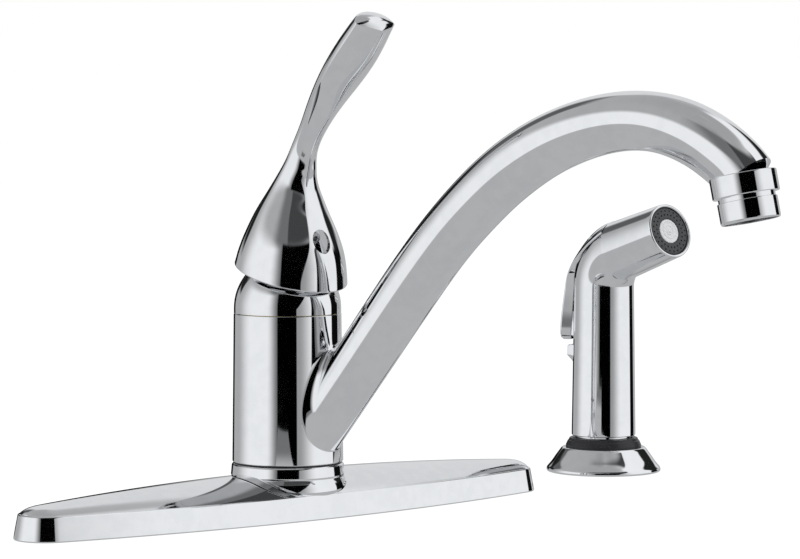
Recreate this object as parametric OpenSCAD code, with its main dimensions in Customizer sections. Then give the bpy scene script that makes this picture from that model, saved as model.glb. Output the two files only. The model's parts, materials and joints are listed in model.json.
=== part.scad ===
// Single-handle kitchen faucet: deck plate, swinging spout, lever handle and side sprayer.
// Millimetres, +Z up. The deck is z = 0, the user stands at -Y and the sprayer at +X.
// The origin is on the valve's axis at deck level.

/* [Deck plate] */
// Length from tip to tip
plate_l = 266; // [250:1:280]
// Width across the middle
plate_w = 53; // [52:0.5:60]
// Radius of the rounded tips
tip_r = 13.5; // [11:0.5:16]
// Height of the skirt round the edge
skirt_h = 10; // [9:0.5:12]
// Inward slope of the skirt over its height
skirt_draft = 1.8; // [0.5:0.1:3]
// Rise of the crown above the skirt at the middle
crown_h = 7.8; // [5:0.1:9]
// Thickness of the plate's walls
plate_wall = 2.4; // [2:0.1:3]
// Radius of the collar that the hub stands on
collar_r = 23.5; // [23.2:0.1:24]
// Height of the collar's top above the deck
collar_top = 21.2; // [20:0.1:23]
// Thickness of the gasket inside the skirt
gasket_t = 2; // [1:0.5:3]

/* [Mounting] */
// Distance between the two studs
stud_spacing = 203.2; // [195:0.1:207]
// Radius of a stud
stud_r = 4.75; // [4:0.05:5]
// Reach of the studs below the deck
stud_reach = 58; // [50:1:70]
// Thickness of sink and worktop that the nuts are drawn under
deck_t = 25; // [12:1:32]

/* [Valve] */
// Radius of the post that the hub turns on
post_r = 20.25; // [20:0.05:20.5]
// Running clearance between post and hub
hub_clear = 0.05; // [0.03:0.01:0.1]
// Height at which the handle and the stem pivot
pivot_z = 85; // [84:0.5:87]
// Radius of the cartridge's housing
cartridge_r = 17.5; // [17:0.05:17.6]
// Forward lean of the stem with the water shut off
stem_lean = 15; // [12:1:16]
// Length of the stem above its pivot
stem_l = 38; // [35:1:40]
// Radius of the stem
stem_r = 4; // [3.5:0.1:4.2]
// Distance from the pivot down to the stem's ball end
arm_l = 12; // [11.8:0.1:12.2]

/* [Spout] */
// Turn of the spout from straight ahead towards the sprayer
spout_turn = 16; // [0:1:40]
// Outer radius of the hub at its foot
hub_r_low = 22.9; // [22.5:0.1:23.1]
// Outer radius of the hub at its top
hub_r_top = 22.2; // [22.1:0.1:22.5]
// Height of the hub's top
hub_top = 82.2; // [82:0.1:82.4]
// Outer radius of the tube
tube_r = 11.9; // [11:0.1:12.2]
// Wall of the tube
tube_wall = 2; // [1.5:0.1:3]
// Distance from the valve's axis to the outlet
spout_reach = 211; // [204:0.5:220]
// Height of the arch's centre line above the deck
arch_z = 163.4; // [155:0.2:172]
// Height at which the tube's centre line meets the valve's axis
tube_foot_z = 17.4; // [15:0.1:20]
// Radius of the outlet collar
outlet_r = 12.9; // [12.7:0.1:13.6]
// Length of the outlet collar
outlet_l = 8.3; // [7:0.1:10]
// Slope of the outlet from straight down, away from the hub
outlet_tilt = 12; // [8:1:16]

/* [Aerator] */
// Radius of the aerator's visible body
aerator_r = 11.5; // [11.3:0.1:12.2]
// Length of the visible body below the groove
aerator_l = 8.3; // [7:0.1:10]
// Radius of the thread that holds it in the outlet
aerator_thread_r = 10.9; // [10.6:0.05:11]

/* [Handle] */
// Radius of the cowl at its rim
cowl_r = 23.2; // [23:0.1:23.8]
// Wall of the cowl
cowl_wall = 1.5; // [1.2:0.1:1.6]
// Width of the lever's blade at its widest
blade_w = 23; // [20:0.2:25]
// Depth of the blade's round back
blade_back = 8.5; // [7:0.1:9]
// Depth of the blade's ridged front
blade_front = 5.7; // [4.8:0.1:6.2]
// Travel of the handle from shut to full flow
handle_travel = 30; // [26:1:30]

/* [Sprayer] */
// Distance from the valve's axis to the sprayer's, along the plate
spray_x = 203.2; // [195:0.1:215]
// Distance of the sprayer behind the plate's long axis
spray_y = 25; // [15:1:35]
// Radius of the flange on the deck
flange_r = 26.1; // [25:0.1:28]
// Height of the flange
flange_h = 11; // [9:0.5:12]
// Radius of the sprayer's shell at its foot
shell_r_low = 14.6; // [14.4:0.1:15]
// Radius of the shell at the bend
shell_r_top = 13.6; // [13.4:0.1:13.8]
// Radius of the head at the nozzle
head_r = 12.4; // [12.2:0.1:12.8]
// Height at which the shell starts to bend
bend_z = 84.3; // [80:0.5:88]
// Radius of the bend's centre line
bend_r = 18; // [17:0.5:20]
// Rise of the head above the horizontal
head_rise = 18; // [15:1:22]
// Length of the head past the bend
head_l = 31.9; // [28:0.5:36]
// Travel of the trigger
trigger_travel = 5; // [3:0.5:5]

/* [Hidden] */

$fn = 64;
eps = 0.01;
chrome = [0.86, 0.87, 0.88];
brass = [0.80, 0.66, 0.38];
black_plastic = [0.10, 0.10, 0.11];
white_plastic = [0.90, 0.90, 0.88];
rubber = [0.13, 0.13, 0.14];
steel = [0.70, 0.71, 0.72];
ceramic = [0.95, 0.94, 0.90];

// Radii and gaps that several pieces share
thin_gap = 0.05;
free_gap = 0.3;
hub_bore_r = post_r + hub_clear;
cup_r = cartridge_r + 0.1;
groove_h = 0.7;
hub_foot = collar_top + groove_h;
cap_foot = hub_top + free_gap;
cap_r = hub_r_top - 0.1;
cap_wall = 1.5;
cap_opening_r = 10.5;
post_top = pivot_z + 3;
thread_r = post_r - 0.25;
cup_floor = pivot_z - 27;
flange_top = 6.4;
flange_t = 4;
flange_r_under = collar_r - 1.8;

// Heights inside the cartridge, counted down and up from the pivot
base_t = 4;
base_foot = cup_floor;
disc_foot = base_foot + base_t;
disc_t = 4;
carrier_foot = disc_foot + 2 * disc_t - 0.5;
carrier_top = pivot_z - 9.8;
rotor_foot = carrier_top + free_gap;
rotor_flange_top = rotor_foot + 4.5;
rotor_top = pivot_z + 6.2;
housing_wall = 2.2;
shoulder_z = pivot_z - 3;
neck_r = 14.2;
rotor_r = 11.5;
slot_w = 2 * stem_r + 0.6;
most_lean = max(stem_lean, handle_travel - stem_lean);
slot_half = stem_r / cos(most_lean) + (rotor_top - pivot_z) * tan(most_lean) + 1;
pin_r = 1.5;
port_x = 7.5;
port_r = 3.2;
disc_shift = arm_l * sin(stem_lean);

// Outline of the plate: two long arcs joined by round tips. inset moves it inward.
function plate_a() = plate_l / 2 - tip_r;
function plate_arc() =
    (pow(plate_a(), 2) + pow(plate_w / 2, 2) - pow(tip_r, 2)) / (plate_w - 2 * tip_r);
function plate_half_angle() = atan(plate_a() / (plate_arc() - plate_w / 2));
function side_arc(inset, steps) = [
    for (i = [0:steps - 1])
        let (t = plate_half_angle() * (2 * i / steps - 1))
        [(plate_arc() - inset) * sin(t),
         plate_arc() - plate_w / 2 - (plate_arc() - inset) * cos(t)]
];
function tip_arc(inset, steps) = [
    for (i = [0:steps - 1])
        let (t = (90 - plate_half_angle()) * (2 * i / steps - 1))
        [plate_a() + (tip_r - inset) * cos(t), (tip_r - inset) * sin(t)]
];
function turned(points) = [for (p = points) [-p[0], -p[1]]];
function half_outline(inset) = concat(side_arc(inset, 20), tip_arc(inset, 12));
function outline(inset) = concat(half_outline(inset), turned(half_outline(inset)));

// Half of the plate's width at a distance x from the middle
function half_width(x, inset) =
    abs(x) < plate_a() * (plate_arc() - inset) / (plate_arc() - tip_r)
        ? sqrt(pow(plate_arc() - inset, 2) - x * x) - plate_arc() + plate_w / 2
        : sqrt(max(0.0001, pow(tip_r - inset, 2) - pow(abs(x) - plate_a(), 2)));
function crown(x, y, inset, rise) =
    let (w = half_width(x, inset))
    rise * w / half_width(0, inset) * max(0, 1 - pow(y / w, 2));
function level(points, z) = [for (p = points) [p[0], p[1], z]];
function crown_ring(inset, share, z, rise) = [
    for (p = outline(inset))
        [p[0] * share, p[1] * share, z + crown(p[0] * share, p[1] * share, inset, rise)]
];

// Closed skin over a list of rings with as many points each, closed by a fan at both ends
module skin(rings, first, last) {
    m = len(rings[0]);
    n = len(rings);
    points = concat([first], [for (r = rings) for (p = r) p], [last]);
    faces = concat(
        [for (j = [0:m - 1]) [0, 1 + (j + 1) % m, 1 + j]],
        [for (i = [0:n - 2]) for (j = [0:m - 1])
            [1 + i * m + j, 1 + i * m + (j + 1) % m, 1 + (i + 1) * m + j]],
        [for (i = [0:n - 2]) for (j = [0:m - 1])
            [1 + i * m + (j + 1) % m, 1 + (i + 1) * m + (j + 1) % m, 1 + (i + 1) * m + j]],
        [for (j = [0:m - 1]) [1 + (n - 1) * m + j, 1 + (n - 1) * m + (j + 1) % m, 1 + n * m]]
    );
    polyhedron(points = points, faces = faces, convexity = 6);
}

// The plate's shell: over the crown, down the skirt, round the foot and back up inside
edge_r = 0.6;
crown_shares = [0.12, 0.3, 0.48, 0.64, 0.78, 0.9, 1];
inner_shares = [1, 0.8, 0.55, 0.25];
module plate_shell() {
    top_inset = skirt_draft + edge_r;
    inner_inset = skirt_draft + plate_wall;
    roof = skirt_h - plate_wall;
    rings = concat(
        [for (s = crown_shares) crown_ring(top_inset, s, skirt_h, crown_h)],
        [level(outline(skirt_draft), skirt_h - edge_r)],
        [level(outline(0), 0)],
        [level(outline(plate_wall), 0)],
        [for (s = inner_shares) crown_ring(inner_inset, s, roof, crown_h)]
    );
    skin(rings, [0, 0, skirt_h + crown_h], [0, 0, roof + crown_h]);
}

collar_foot = skirt_h - 1;
collar_flare = 1.3;
boss_r = 8;
boss_foot_z = gasket_t + free_gap;
boss_top = skirt_h - plate_wall / 2
    + crown(stud_spacing / 2 + boss_r, 0, skirt_draft + plate_wall, crown_h);
module deck_plate() {
    color(chrome)
    difference() {
        union() {
            plate_shell();
            rotate_extrude($fn = 96)
                polygon([
                    [post_r, flange_top], [flange_r_under, flange_top],
                    [collar_r + collar_flare - 0.3, collar_foot],
                    [collar_r + collar_flare, collar_foot + 2],
                    [collar_r + collar_flare * 0.8, collar_foot + 4],
                    [collar_r + collar_flare * 0.35, collar_foot + 5.8],
                    [collar_r - 0.25, collar_foot + 7],
                    [collar_r, collar_foot + 7.6], [collar_r, collar_top - edge_r],
                    [collar_r - edge_r, collar_top], [post_r, collar_top]
                ]);
            for (s = [-1, 1])
                translate([s * stud_spacing / 2, 0, boss_foot_z])
                    cylinder(r = boss_r, h = boss_top - boss_foot_z);
        }
        translate([0, 0, -1])
            cylinder(r = post_r + 0.1, h = collar_top + 2, $fn = 96);
        for (s = [-1, 1])
            translate([s * stud_spacing / 2, 0, 0])
                cylinder(r = stud_r + thin_gap, h = skirt_h - 0.5);
    }
}

shank_r = 15;
module deck_gasket() {
    color(rubber)
    difference() {
        linear_extrude(gasket_t)
            polygon(outline(plate_wall + 0.5));
        translate([0, 0, -1])
            cylinder(r = shank_r + free_gap, h = gasket_t + 2);
        for (s = [-1, 1])
            translate([s * stud_spacing / 2, 0, -1])
                cylinder(r = stud_r + free_gap, h = gasket_t + 2);
    }
}

module mounting_studs() {
    color(steel)
    for (s = [-1, 1])
        translate([s * stud_spacing / 2, 0, -stud_reach])
            union() {
                cylinder(r1 = stud_r - 0.8, r2 = stud_r, h = 1);
                translate([0, 0, 1])
                    cylinder(r = stud_r, h = stud_reach + skirt_h - 2);
            }
}

washer_r = 15;
washer_t = 2;
module stud_washers() {
    color(steel)
    for (s = [-1, 1])
        translate([s * stud_spacing / 2, 0, -deck_t - washer_t])
            difference() {
                cylinder(r = washer_r, h = washer_t);
                translate([0, 0, -1])
                    cylinder(r = stud_r + free_gap, h = washer_t + 2);
            }
}

// Moulded nuts with two finger wings each
nut_h = 11;
nut_core_r = 8.5;
nut_rim_t = 3;
wing_span = 34;
wing_t = 4;
module stud_nuts() {
    color(white_plastic)
    for (s = [-1, 1])
        translate([s * stud_spacing / 2, 0, -deck_t - washer_t - nut_h])
            difference() {
                union() {
                    translate([0, 0, nut_h - nut_rim_t])
                        cylinder(r = washer_r - 2, h = nut_rim_t);
                    cylinder(r = nut_core_r, h = nut_h);
                    translate([-wing_span / 2, -wing_t / 2, 0])
                        cube([wing_span, wing_t, nut_h - 2]);
                }
                translate([0, 0, -1])
                    cylinder(r = stud_r + thin_gap, h = nut_h + 2);
            }
}

// Valve body
ring_minor = 0.83;
ring_depth = 1.65;
ring_h = 2.4;
low_ring_z = 31;
top_ring_z = 73;
window_foot = 38;
window_top = 58;
window_r = 17;
shank_foot = -9;
outlet_port_z = 50;
diverter_z = 46;
diverter_r = 4.5;
diverter_start = 2;
inlet_r = 5;
spray_outlet_r = 4;
spray_port_r = 2.5;
spray_port_y = 9.5;
socket_depth = 12;
drill_l = 2 * post_r;
module post_profile() {
    polygon([
        [0, shank_foot], [shank_r, shank_foot], [shank_r, flange_top - flange_t],
        [flange_r_under - 0.1, flange_top - flange_t], [flange_r_under - 0.1, flange_top],
        [post_r, flange_top],
        [post_r, low_ring_z - ring_h / 2], [post_r - ring_depth, low_ring_z - ring_h / 2],
        [post_r - ring_depth, low_ring_z + ring_h / 2], [post_r, low_ring_z + ring_h / 2],
        [post_r, window_foot], [window_r, window_foot + 3], [window_r, window_top - 3],
        [post_r, window_top],
        [post_r, top_ring_z - ring_h / 2], [post_r - ring_depth, top_ring_z - ring_h / 2],
        [post_r - ring_depth, top_ring_z + ring_h / 2], [post_r, top_ring_z + ring_h / 2],
        [post_r, hub_top], [thread_r, cap_foot - 0.05], [thread_r, post_top], [0, post_top]
    ]);
}
nut_r = 18.6;
nut_seat = shoulder_z - 0.5;
module valve_body() {
    color(brass)
    difference() {
        rotate_extrude($fn = 96)
            post_profile();
        translate([0, 0, cup_floor])
            cylinder(r = cup_r, h = post_top - cup_floor + 1);
        translate([0, 0, nut_seat])
            cylinder(r = nut_r, h = post_top - nut_seat + 1);
        for (s = [-1, 1])
            translate([s * port_x, 0, shank_foot - 1])
                cylinder(r = port_r, h = cup_floor - shank_foot + 2);
        for (s = [-1, 1])
            translate([s * port_x, 0, shank_foot - 1])
                cylinder(r = inlet_r, h = socket_depth + 1);
        translate([0, -port_x, outlet_port_z - port_r])
            cylinder(r = port_r, h = cup_floor - outlet_port_z + port_r + 1);
        translate([0, -port_x, outlet_port_z])
            rotate([90, 0, 0])
                cylinder(r = port_r, h = drill_l);
        translate([0, diverter_start, diverter_z])
            rotate([-90, 0, 0])
                cylinder(r = diverter_r + thin_gap, h = drill_l);
        translate([0, spray_port_y, shank_foot - 1])
            cylinder(r = spray_port_r, h = diverter_z - shank_foot);
        translate([0, spray_port_y, shank_foot - 1])
            cylinder(r = spray_outlet_r, h = socket_depth + 1);
    }
}

nipple_reach = 45;
nipple_thread_l = 12;
nipple_thread = 0.9;
supply_bore_r = 3.4;
module nipple(r, bore, y, x) {
    nipple_l = nipple_reach + shank_foot + socket_depth - 1;
    translate([x, y, -nipple_reach])
        difference() {
            union() {
                cylinder(r = r + nipple_thread, h = nipple_thread_l);
                cylinder(r = r, h = nipple_l);
            }
            translate([0, 0, -1])
                cylinder(r = bore, h = nipple_l + 2);
        }
}
module supply_inlets() {
    color(brass)
    for (s = [-1, 1])
        nipple(inlet_r - thin_gap, supply_bore_r, 0, s * port_x);
}
module spray_outlet() {
    color(brass)
    nipple(spray_outlet_r - thin_gap, spray_port_r, spray_port_y, 0);
}
module diverter() {
    color(white_plastic)
    translate([0, diverter_start + 2, diverter_z])
        rotate([-90, 0, 0])
            rotate_extrude()
                polygon([
                    [0, 0], [diverter_r - 0.6, 0], [diverter_r, 0.6], [diverter_r, 3], [2.2, 3.6],
                    [2.2, 7], [diverter_r, 7.6], [diverter_r, 11], [0, 11]
                ]);
}

module o_ring(z) {
    color(rubber)
    translate([0, 0, z])
        rotate_extrude($fn = 96)
            translate([post_r - ring_depth + ring_minor + 0.01, 0])
                circle(r = ring_minor, $fn = 24);
}
module lower_o_ring() {
    o_ring(low_ring_z);
}
module upper_o_ring() {
    o_ring(top_ring_z);
}
module glide_ring() {
    color(black_plastic)
    translate([0, 0, collar_top])
        difference() {
            cylinder(r = hub_r_low - 0.6, h = groove_h - thin_gap, $fn = 96);
            translate([0, 0, -1])
                cylinder(r = post_r + 0.1, h = groove_h + 2, $fn = 96);
        }
}

// Cartridge
module at_ports() {
    for (p = [[port_x, 0], [-port_x, 0], [0, -port_x]])
        translate([p[0], p[1], 0])
            children();
}
seal_minor = 0.75;
module cartridge_seals() {
    color(rubber)
    at_ports()
        translate([0, 0, base_foot + seal_minor])
            rotate_extrude($fn = 32)
                translate([port_r + 1.2, 0])
                    circle(r = seal_minor, $fn = 16);
}
module cartridge_base() {
    color(white_plastic)
    difference() {
        translate([0, 0, base_foot + free_gap])
            cylinder(r = cartridge_r, h = base_t - free_gap);
        at_ports()
            translate([0, 0, base_foot - 1])
                cylinder(r = port_r, h = base_t + 2);
        at_ports()
            translate([0, 0, base_foot - 1])
                cylinder(r = port_r + 2, h = 1 + 2 * seal_minor + 0.1);
    }
}
module fixed_disc() {
    color(ceramic)
    difference() {
        translate([0, 0, disc_foot])
            cylinder(r = 15, h = disc_t);
        at_ports()
            translate([0, 0, disc_foot - 1])
                cylinder(r = port_r - 0.4, h = disc_t + 2);
    }
}
module moving_disc() {
    color(ceramic)
    translate([0, disc_shift, disc_foot + disc_t + thin_gap])
        difference() {
            cylinder(r = 11, h = carrier_foot - disc_foot - disc_t - thin_gap);
            translate([0, 0, -1])
                cylinder(r = 6.5, h = 3);
        }
}
ball_r = 2.5;
module disc_carrier() {
    color(white_plastic)
    translate([0, disc_shift, 0])
        difference() {
            translate([0, 0, carrier_foot])
                cylinder(r = 11, h = carrier_top - carrier_foot);
            translate([0, 0, pivot_z - arm_l - ball_r - 0.2])
                cylinder(r = ball_r + 0.1, h = 20);
        }
}
module cartridge_rotor() {
    color(black_plastic)
    difference() {
        union() {
            translate([0, 0, rotor_foot])
                cylinder(r = cartridge_r - housing_wall - 0.6, h = rotor_flange_top - rotor_foot);
            translate([0, 0, rotor_foot])
                cylinder(r = rotor_r, h = rotor_top - rotor_foot);
        }
        translate([-slot_w / 2, -slot_half, rotor_foot - 1])
            cube([slot_w, 2 * slot_half, rotor_top - rotor_foot + 2]);
        translate([0, 0, pivot_z])
            rotate([0, 90, 0])
                cylinder(r = pin_r + thin_gap, h = 2 * rotor_r + 2, center = true, $fn = 32);
    }
}
module stem_pin() {
    color(steel)
    translate([0, 0, pivot_z])
        rotate([0, 90, 0])
            cylinder(r = pin_r, h = 2 * rotor_r - 0.8, center = true, $fn = 32);
}
// The stem leans forward about the pivot: a hub on the pin, a ball end below and a rod above
module stem_frame() {
    translate([0, 0, pivot_z])
        rotate([stem_lean, 0, 0])
            children();
}
module stem() {
    color(steel)
    stem_frame()
        difference() {
            union() {
                cylinder(r = stem_r, h = stem_l);
                rotate([0, 90, 0])
                    cylinder(r = 5, h = 2 * stem_r, center = true);
                translate([0, 0, -arm_l])
                    cylinder(r = 1.8, h = arm_l);
                translate([0, 0, -arm_l])
                    sphere(r = ball_r, $fn = 32);
            }
            rotate([0, 90, 0])
                cylinder(r = pin_r + thin_gap, h = 20, center = true, $fn = 32);
            translate([-2 * stem_r, -2 * stem_r + flat_depth - stem_r, screw_h - stem_r])
                cube([4 * stem_r, 2 * stem_r, stem_l]);
        }
}
module cartridge_housing() {
    color(white_plastic)
    rotate_extrude($fn = 96)
        polygon([
            [cartridge_r - housing_wall, disc_foot], [cartridge_r, disc_foot],
            [cartridge_r, shoulder_z], [neck_r, shoulder_z], [neck_r, pivot_z + 5],
            [rotor_r + 0.1, pivot_z + 5], [rotor_r + 0.1, rotor_flange_top + free_gap],
            [cartridge_r - housing_wall, rotor_flange_top + free_gap]
        ]);
}
module retaining_nut() {
    color(brass)
    difference() {
        union() {
            translate([0, 0, shoulder_z])
                cylinder(r = nut_r - thin_gap, h = post_top - shoulder_z);
            translate([0, 0, post_top - 1])
                cylinder(r = cartridge_r, h = 4.8, $fn = 6);
        }
        translate([0, 0, shoulder_z - 1])
            cylinder(r = neck_r + 0.2, h = 20);
    }
}
// The dome is part of a sphere about the pivot, so the cowl swings over it at one distance
module bonnet_cap() {
    color(chrome)
    rotate_extrude($fn = 96)
        difference() {
            union() {
                intersection() {
                    translate([0, pivot_z])
                        circle(r = cap_r, $fn = 96);
                    translate([cap_opening_r, pivot_z])
                        square([cap_r, cap_r]);
                }
                translate([cap_opening_r, cap_foot])
                    square([cap_r - cap_opening_r, pivot_z - cap_foot]);
            }
            intersection() {
                translate([0, pivot_z])
                    circle(r = cap_r - cap_wall, $fn = 96);
                translate([0, post_top])
                    square([cap_r, cap_r]);
            }
            translate([0, cap_foot - 1])
                square([thread_r + thin_gap, post_top - cap_foot + 1 + eps]);
        }
}

// Handle. Each station: centre y, centre z above the pivot, lean, half width, front and back depth,
// and how far its front is a ridge and not a half ellipse.
rim_tilt = 16.8;
screw_h = 33;
screw_r = 2.5;
screw_l = 7;
screw_sink_r = 4.3;
screw_sink_y = -9;
flat_depth = 0.9;
cavity_top = 36;
function cowl(y, z, lean, side, front, back) =
    [y, z, lean, cowl_r * side, cowl_r * front, cowl_r * back, 0];
function blade(y, z, lean, share, depth) =
    [y, z, lean, blade_w / 2 * share, blade_front * depth, blade_back * depth, 1];
handle_stations = [
    cowl(-2.1, 14.9, rim_tilt, 0.998, 1.056, 0.988),
    cowl(-2.3, 19, 13, 0.979, 1.026, 0.951),
    cowl(-2.3, 22, 7, 0.953, 0.987, 0.927),
    cowl(-2.5, 27.5, 3, 0.883, 0.9, 0.866),
    cowl(-2.7, 33, 1, 0.788, 0.79, 0.786),
    cowl(-3.2, 40.2, 4, 0.643, 0.66, 0.622),
    cowl(-4.3, 46.6, 9, 0.508, 0.543, 0.452),
    [-6.4, 54.4, 18, 8.3, 9, 6.9, 0],
    [-8.6, 60, 25, 6.5, 7.6, 5.5, 0],
    [-11.2, 65.5, 32, 5.6, 6.1, 5.1, 0.15],
    [-16.5, 73, 35, 5.9, 5, 5.3, 0.45],
    [-22.4, 80, 38, 7.3, 5.2, 6.3, 0.8],
    blade(-34.9, 92.8, 43, 0.916, 0.94),
    blade(-45.6, 103.6, 45, 1, 1),
    blade(-53, 110.8, 45, 0.94, 0.94),
    blade(-56.7, 115.8, 45, 0.857, 0.83)
];
function catmull(a, b, c, d, t) =
    0.5 * (2 * b + (c - a) * t + (2 * a - 5 * b + 4 * c - d) * t * t
        + (3 * b - a - 3 * c + d) * t * t * t);
function station(list, i) = list[max(0, min(len(list) - 1, i))];
function smooth(list, steps) = concat(
    [for (i = [0:len(list) - 2]) for (k = [0:steps - 1])
        catmull(station(list, i - 1), list[i], list[i + 1], station(list, i + 2), k / steps)],
    [list[len(list) - 1]]
);
ring_points = 32;
function front_depth(u, ridge) = (1 - ridge) * sqrt(max(0, 1 - u * u)) + ridge * (1 - pow(abs(u), 1.5));
// One section of the handle, scaled by grow and lifted along its own normal
function handle_ring(s, grow, lift) = [
    for (j = [0:ring_points - 1])
        let (
            t = -360 * j / ring_points,
            x = s[3] * cos(t),
            d = sin(t) > 0 ? s[5] * sin(t) : -s[4] * front_depth(cos(t), s[6])
        )
        [x * grow, s[0] + d * grow * cos(s[2]) - lift * sin(s[2]),
         pivot_z + s[1] + d * grow * sin(s[2]) + lift * cos(s[2])]
];
module handle_skin() {
    path = smooth(handle_stations, 2);
    foot = handle_stations[0];
    tip = handle_stations[len(handle_stations) - 1];
    rings = concat(
        [handle_ring(foot, 0.97, -0.9)],
        [for (s = path) handle_ring(s, 1, 0)],
        [handle_ring(tip, 0.93, 0.9), handle_ring(tip, 0.7, 2), handle_ring(tip, 0.4, 2.7)]
    );
    skin(rings,
        [0, foot[0] + 0.9 * sin(foot[2]), pivot_z + foot[1] - 0.9 * cos(foot[2])],
        [0, tip[0] - 3 * sin(tip[2]), pivot_z + tip[1] + 3 * cos(tip[2])]);
}
boss_foot = 23.2;
boss_width = 7;
// The hollow under the cowl: height above the pivot and share of the rim's radius
cowl_hollow = [[-5, 1.006], [10, 1], [17, 0.99], [22, 0.945], [27.5, 0.875], [33, 0.77]];
module handle() {
    color(chrome)
    difference() {
        union() {
            difference() {
                handle_skin();
                translate([0, -2.3, pivot_z])
                    rotate_extrude($fn = 72)
                        polygon(concat(
                            [[0, -5]],
                            [for (p = cowl_hollow) [cowl_r * p[1] - cowl_wall, p[0]]],
                            [[boss_width, cavity_top], [0, cavity_top]]
                        ));
            }
            stem_frame()
                translate([0, 0, boss_foot])
                    cylinder(r = boss_width, h = stem_l - boss_foot);
        }
        stem_frame()
            cylinder(r = stem_r + thin_gap, h = stem_l + free_gap);
        stem_frame()
            translate([0, 0, screw_h])
                rotate([90, 0, 0])
                    cylinder(r = screw_r + thin_gap, h = cowl_r);
        stem_frame()
            translate([0, screw_sink_y, screw_h])
                rotate([90, 0, 0])
                    cylinder(r = screw_sink_r, h = cowl_r);
    }
}
module set_screw() {
    color(steel)
    stem_frame()
        translate([0, -stem_r + flat_depth - thin_gap, screw_h])
            rotate([90, 0, 0])
                difference() {
                    cylinder(r = screw_r, h = screw_l);
                    translate([0, 0, screw_l - 3])
                        cylinder(r = screw_r / 2, h = screw_l, $fn = 6);
                }
}

// Spout. Each station of the tube: distance from the valve's axis, rise above the foot and radius,
// as shares of the reach, the arch's rise and the tube's radius.
tube_stations = [
    [0.057, 0.106, 1], [0.184, 0.340, 1], [0.303, 0.561, 1.01], [0.376, 0.685, 1.01],
    [0.428, 0.760, 1.02], [0.481, 0.827, 1.025], [0.538, 0.886, 1.025], [0.598, 0.934, 1.01],
    [0.645, 0.962, 1], [0.696, 0.984, 0.985], [0.762, 0.999, 0.97], [0.826, 0.996, 0.972],
    [0.884, 0.975, 0.995], [0.937, 0.938, 1], [0.972, 0.903, 0.995], [1, 0.866, 0.98],
    [1.028, 0.816, 0.97]
];
outlet_z = tube_foot_z + 0.866 * (arch_z - tube_foot_z);
module spout_plane() {
    rotate([0, 0, spout_turn - 90])
        children();
}
// Rings of the tube across its own path, in the spout's vertical plane with +X away from the hub
function tube_ring(a, p, b, cut, count) =
    let (
        d = [b[0] - a[0], b[1] - a[1]],
        n = [-d[1], d[0]] / norm(d),
        r = p[2] - cut
    )
    [for (j = [0:count - 1])
        let (t = 360 * j / count)
        [p[0] + n[0] * r * cos(t), r * sin(t), p[1] + n[1] * r * cos(t)]
    ];
tube_path = smooth([
    for (s = tube_stations)
        [s[0] * spout_reach, tube_foot_z + s[1] * (arch_z - tube_foot_z), s[2] * tube_r]
], 2);
function path_ring(i, cut, count) =
    tube_ring(tube_path[max(0, i - 1)], tube_path[i], tube_path[min(len(tube_path) - 1, i + 1)],
        cut, count);

// The tube runs straight where it leaves the hub. Its root is a fillet, widest on the upper side:
// rings along the hub's own wall, at a distance rho from the valve's axis.
root_rise = atan2(tube_path[2][1] - tube_path[0][1], tube_path[2][0] - tube_path[0][0]);
root_fillet = 5.5;
hub_mid_r = (hub_r_low + hub_r_top) / 2;
function root_fillet_at(t) = root_fillet * (0.55 + 0.5 * cos(t));
function root_point(rho, r, t) =
    let (
        x = sqrt(pow(rho, 2) - pow(r * sin(t), 2)),
        s = (x + r * cos(t) * sin(root_rise)) / cos(root_rise)
    )
    [x, r * sin(t), tube_foot_z + s * sin(root_rise) + r * cos(t) * cos(root_rise)];
function root_ring(turn, count) = [
    for (j = [0:count - 1])
        let (t = 360 * j / count, f = root_fillet_at(t))
        turn < 0
            ? root_point((hub_bore_r + hub_r_top) / 2, tube_r + f, t)
            : root_point(hub_mid_r + f * (1 - cos(turn)), tube_r + f * (1 - sin(turn)), t)
];
module outer_tube(count) {
    end = len(tube_path) - 1;
    skin(
        concat(
            [for (turn = [-1, 8, 28, 50, 90]) root_ring(turn, count)],
            [for (i = [2:end]) path_ring(i, 0, count)]
        ),
        [tube_path[0][0], 0, tube_path[0][1]], [tube_path[end][0], 0, tube_path[end][1]]
    );
}
module tube_bore(count) {
    end = len(tube_path) - 3;
    skin([for (i = [0:end]) path_ring(i, tube_wall, count)],
        [tube_path[0][0], 0, tube_path[0][1]], [tube_path[end][0], 0, tube_path[end][1]]);
}
// Local frame of the outlet: +Z points down the stream from the middle of the collar's top
module outlet_frame() {
    spout_plane()
        translate([spout_reach, 0, outlet_z])
            rotate([0, 180 - outlet_tilt, 0])
                children();
}
tube_cut = 0.5;
module spout() {
    color(chrome)
    difference() {
        union() {
            difference() {
                spout_plane()
                    outer_tube(40);
                outlet_frame()
                    translate([0, 0, tube_cut])
                        cylinder(r = 2 * outlet_r, h = 2 * outlet_r);
            }
            translate([0, 0, hub_foot])
                cylinder(r1 = hub_r_low, r2 = hub_r_top, h = hub_top - hub_foot, $fn = 96);
            outlet_frame()
                cylinder(r = outlet_r, h = outlet_l, $fn = 96);
        }
        spout_plane()
            tube_bore(24);
        outlet_frame()
            translate([0, 0, 1])
                cylinder(r = aerator_thread_r + thin_gap, h = 2 * outlet_l, $fn = 96);
        translate([0, 0, hub_foot - 1])
            cylinder(r = hub_bore_r, h = 2 * hub_top, $fn = 96);
    }
}

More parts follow.
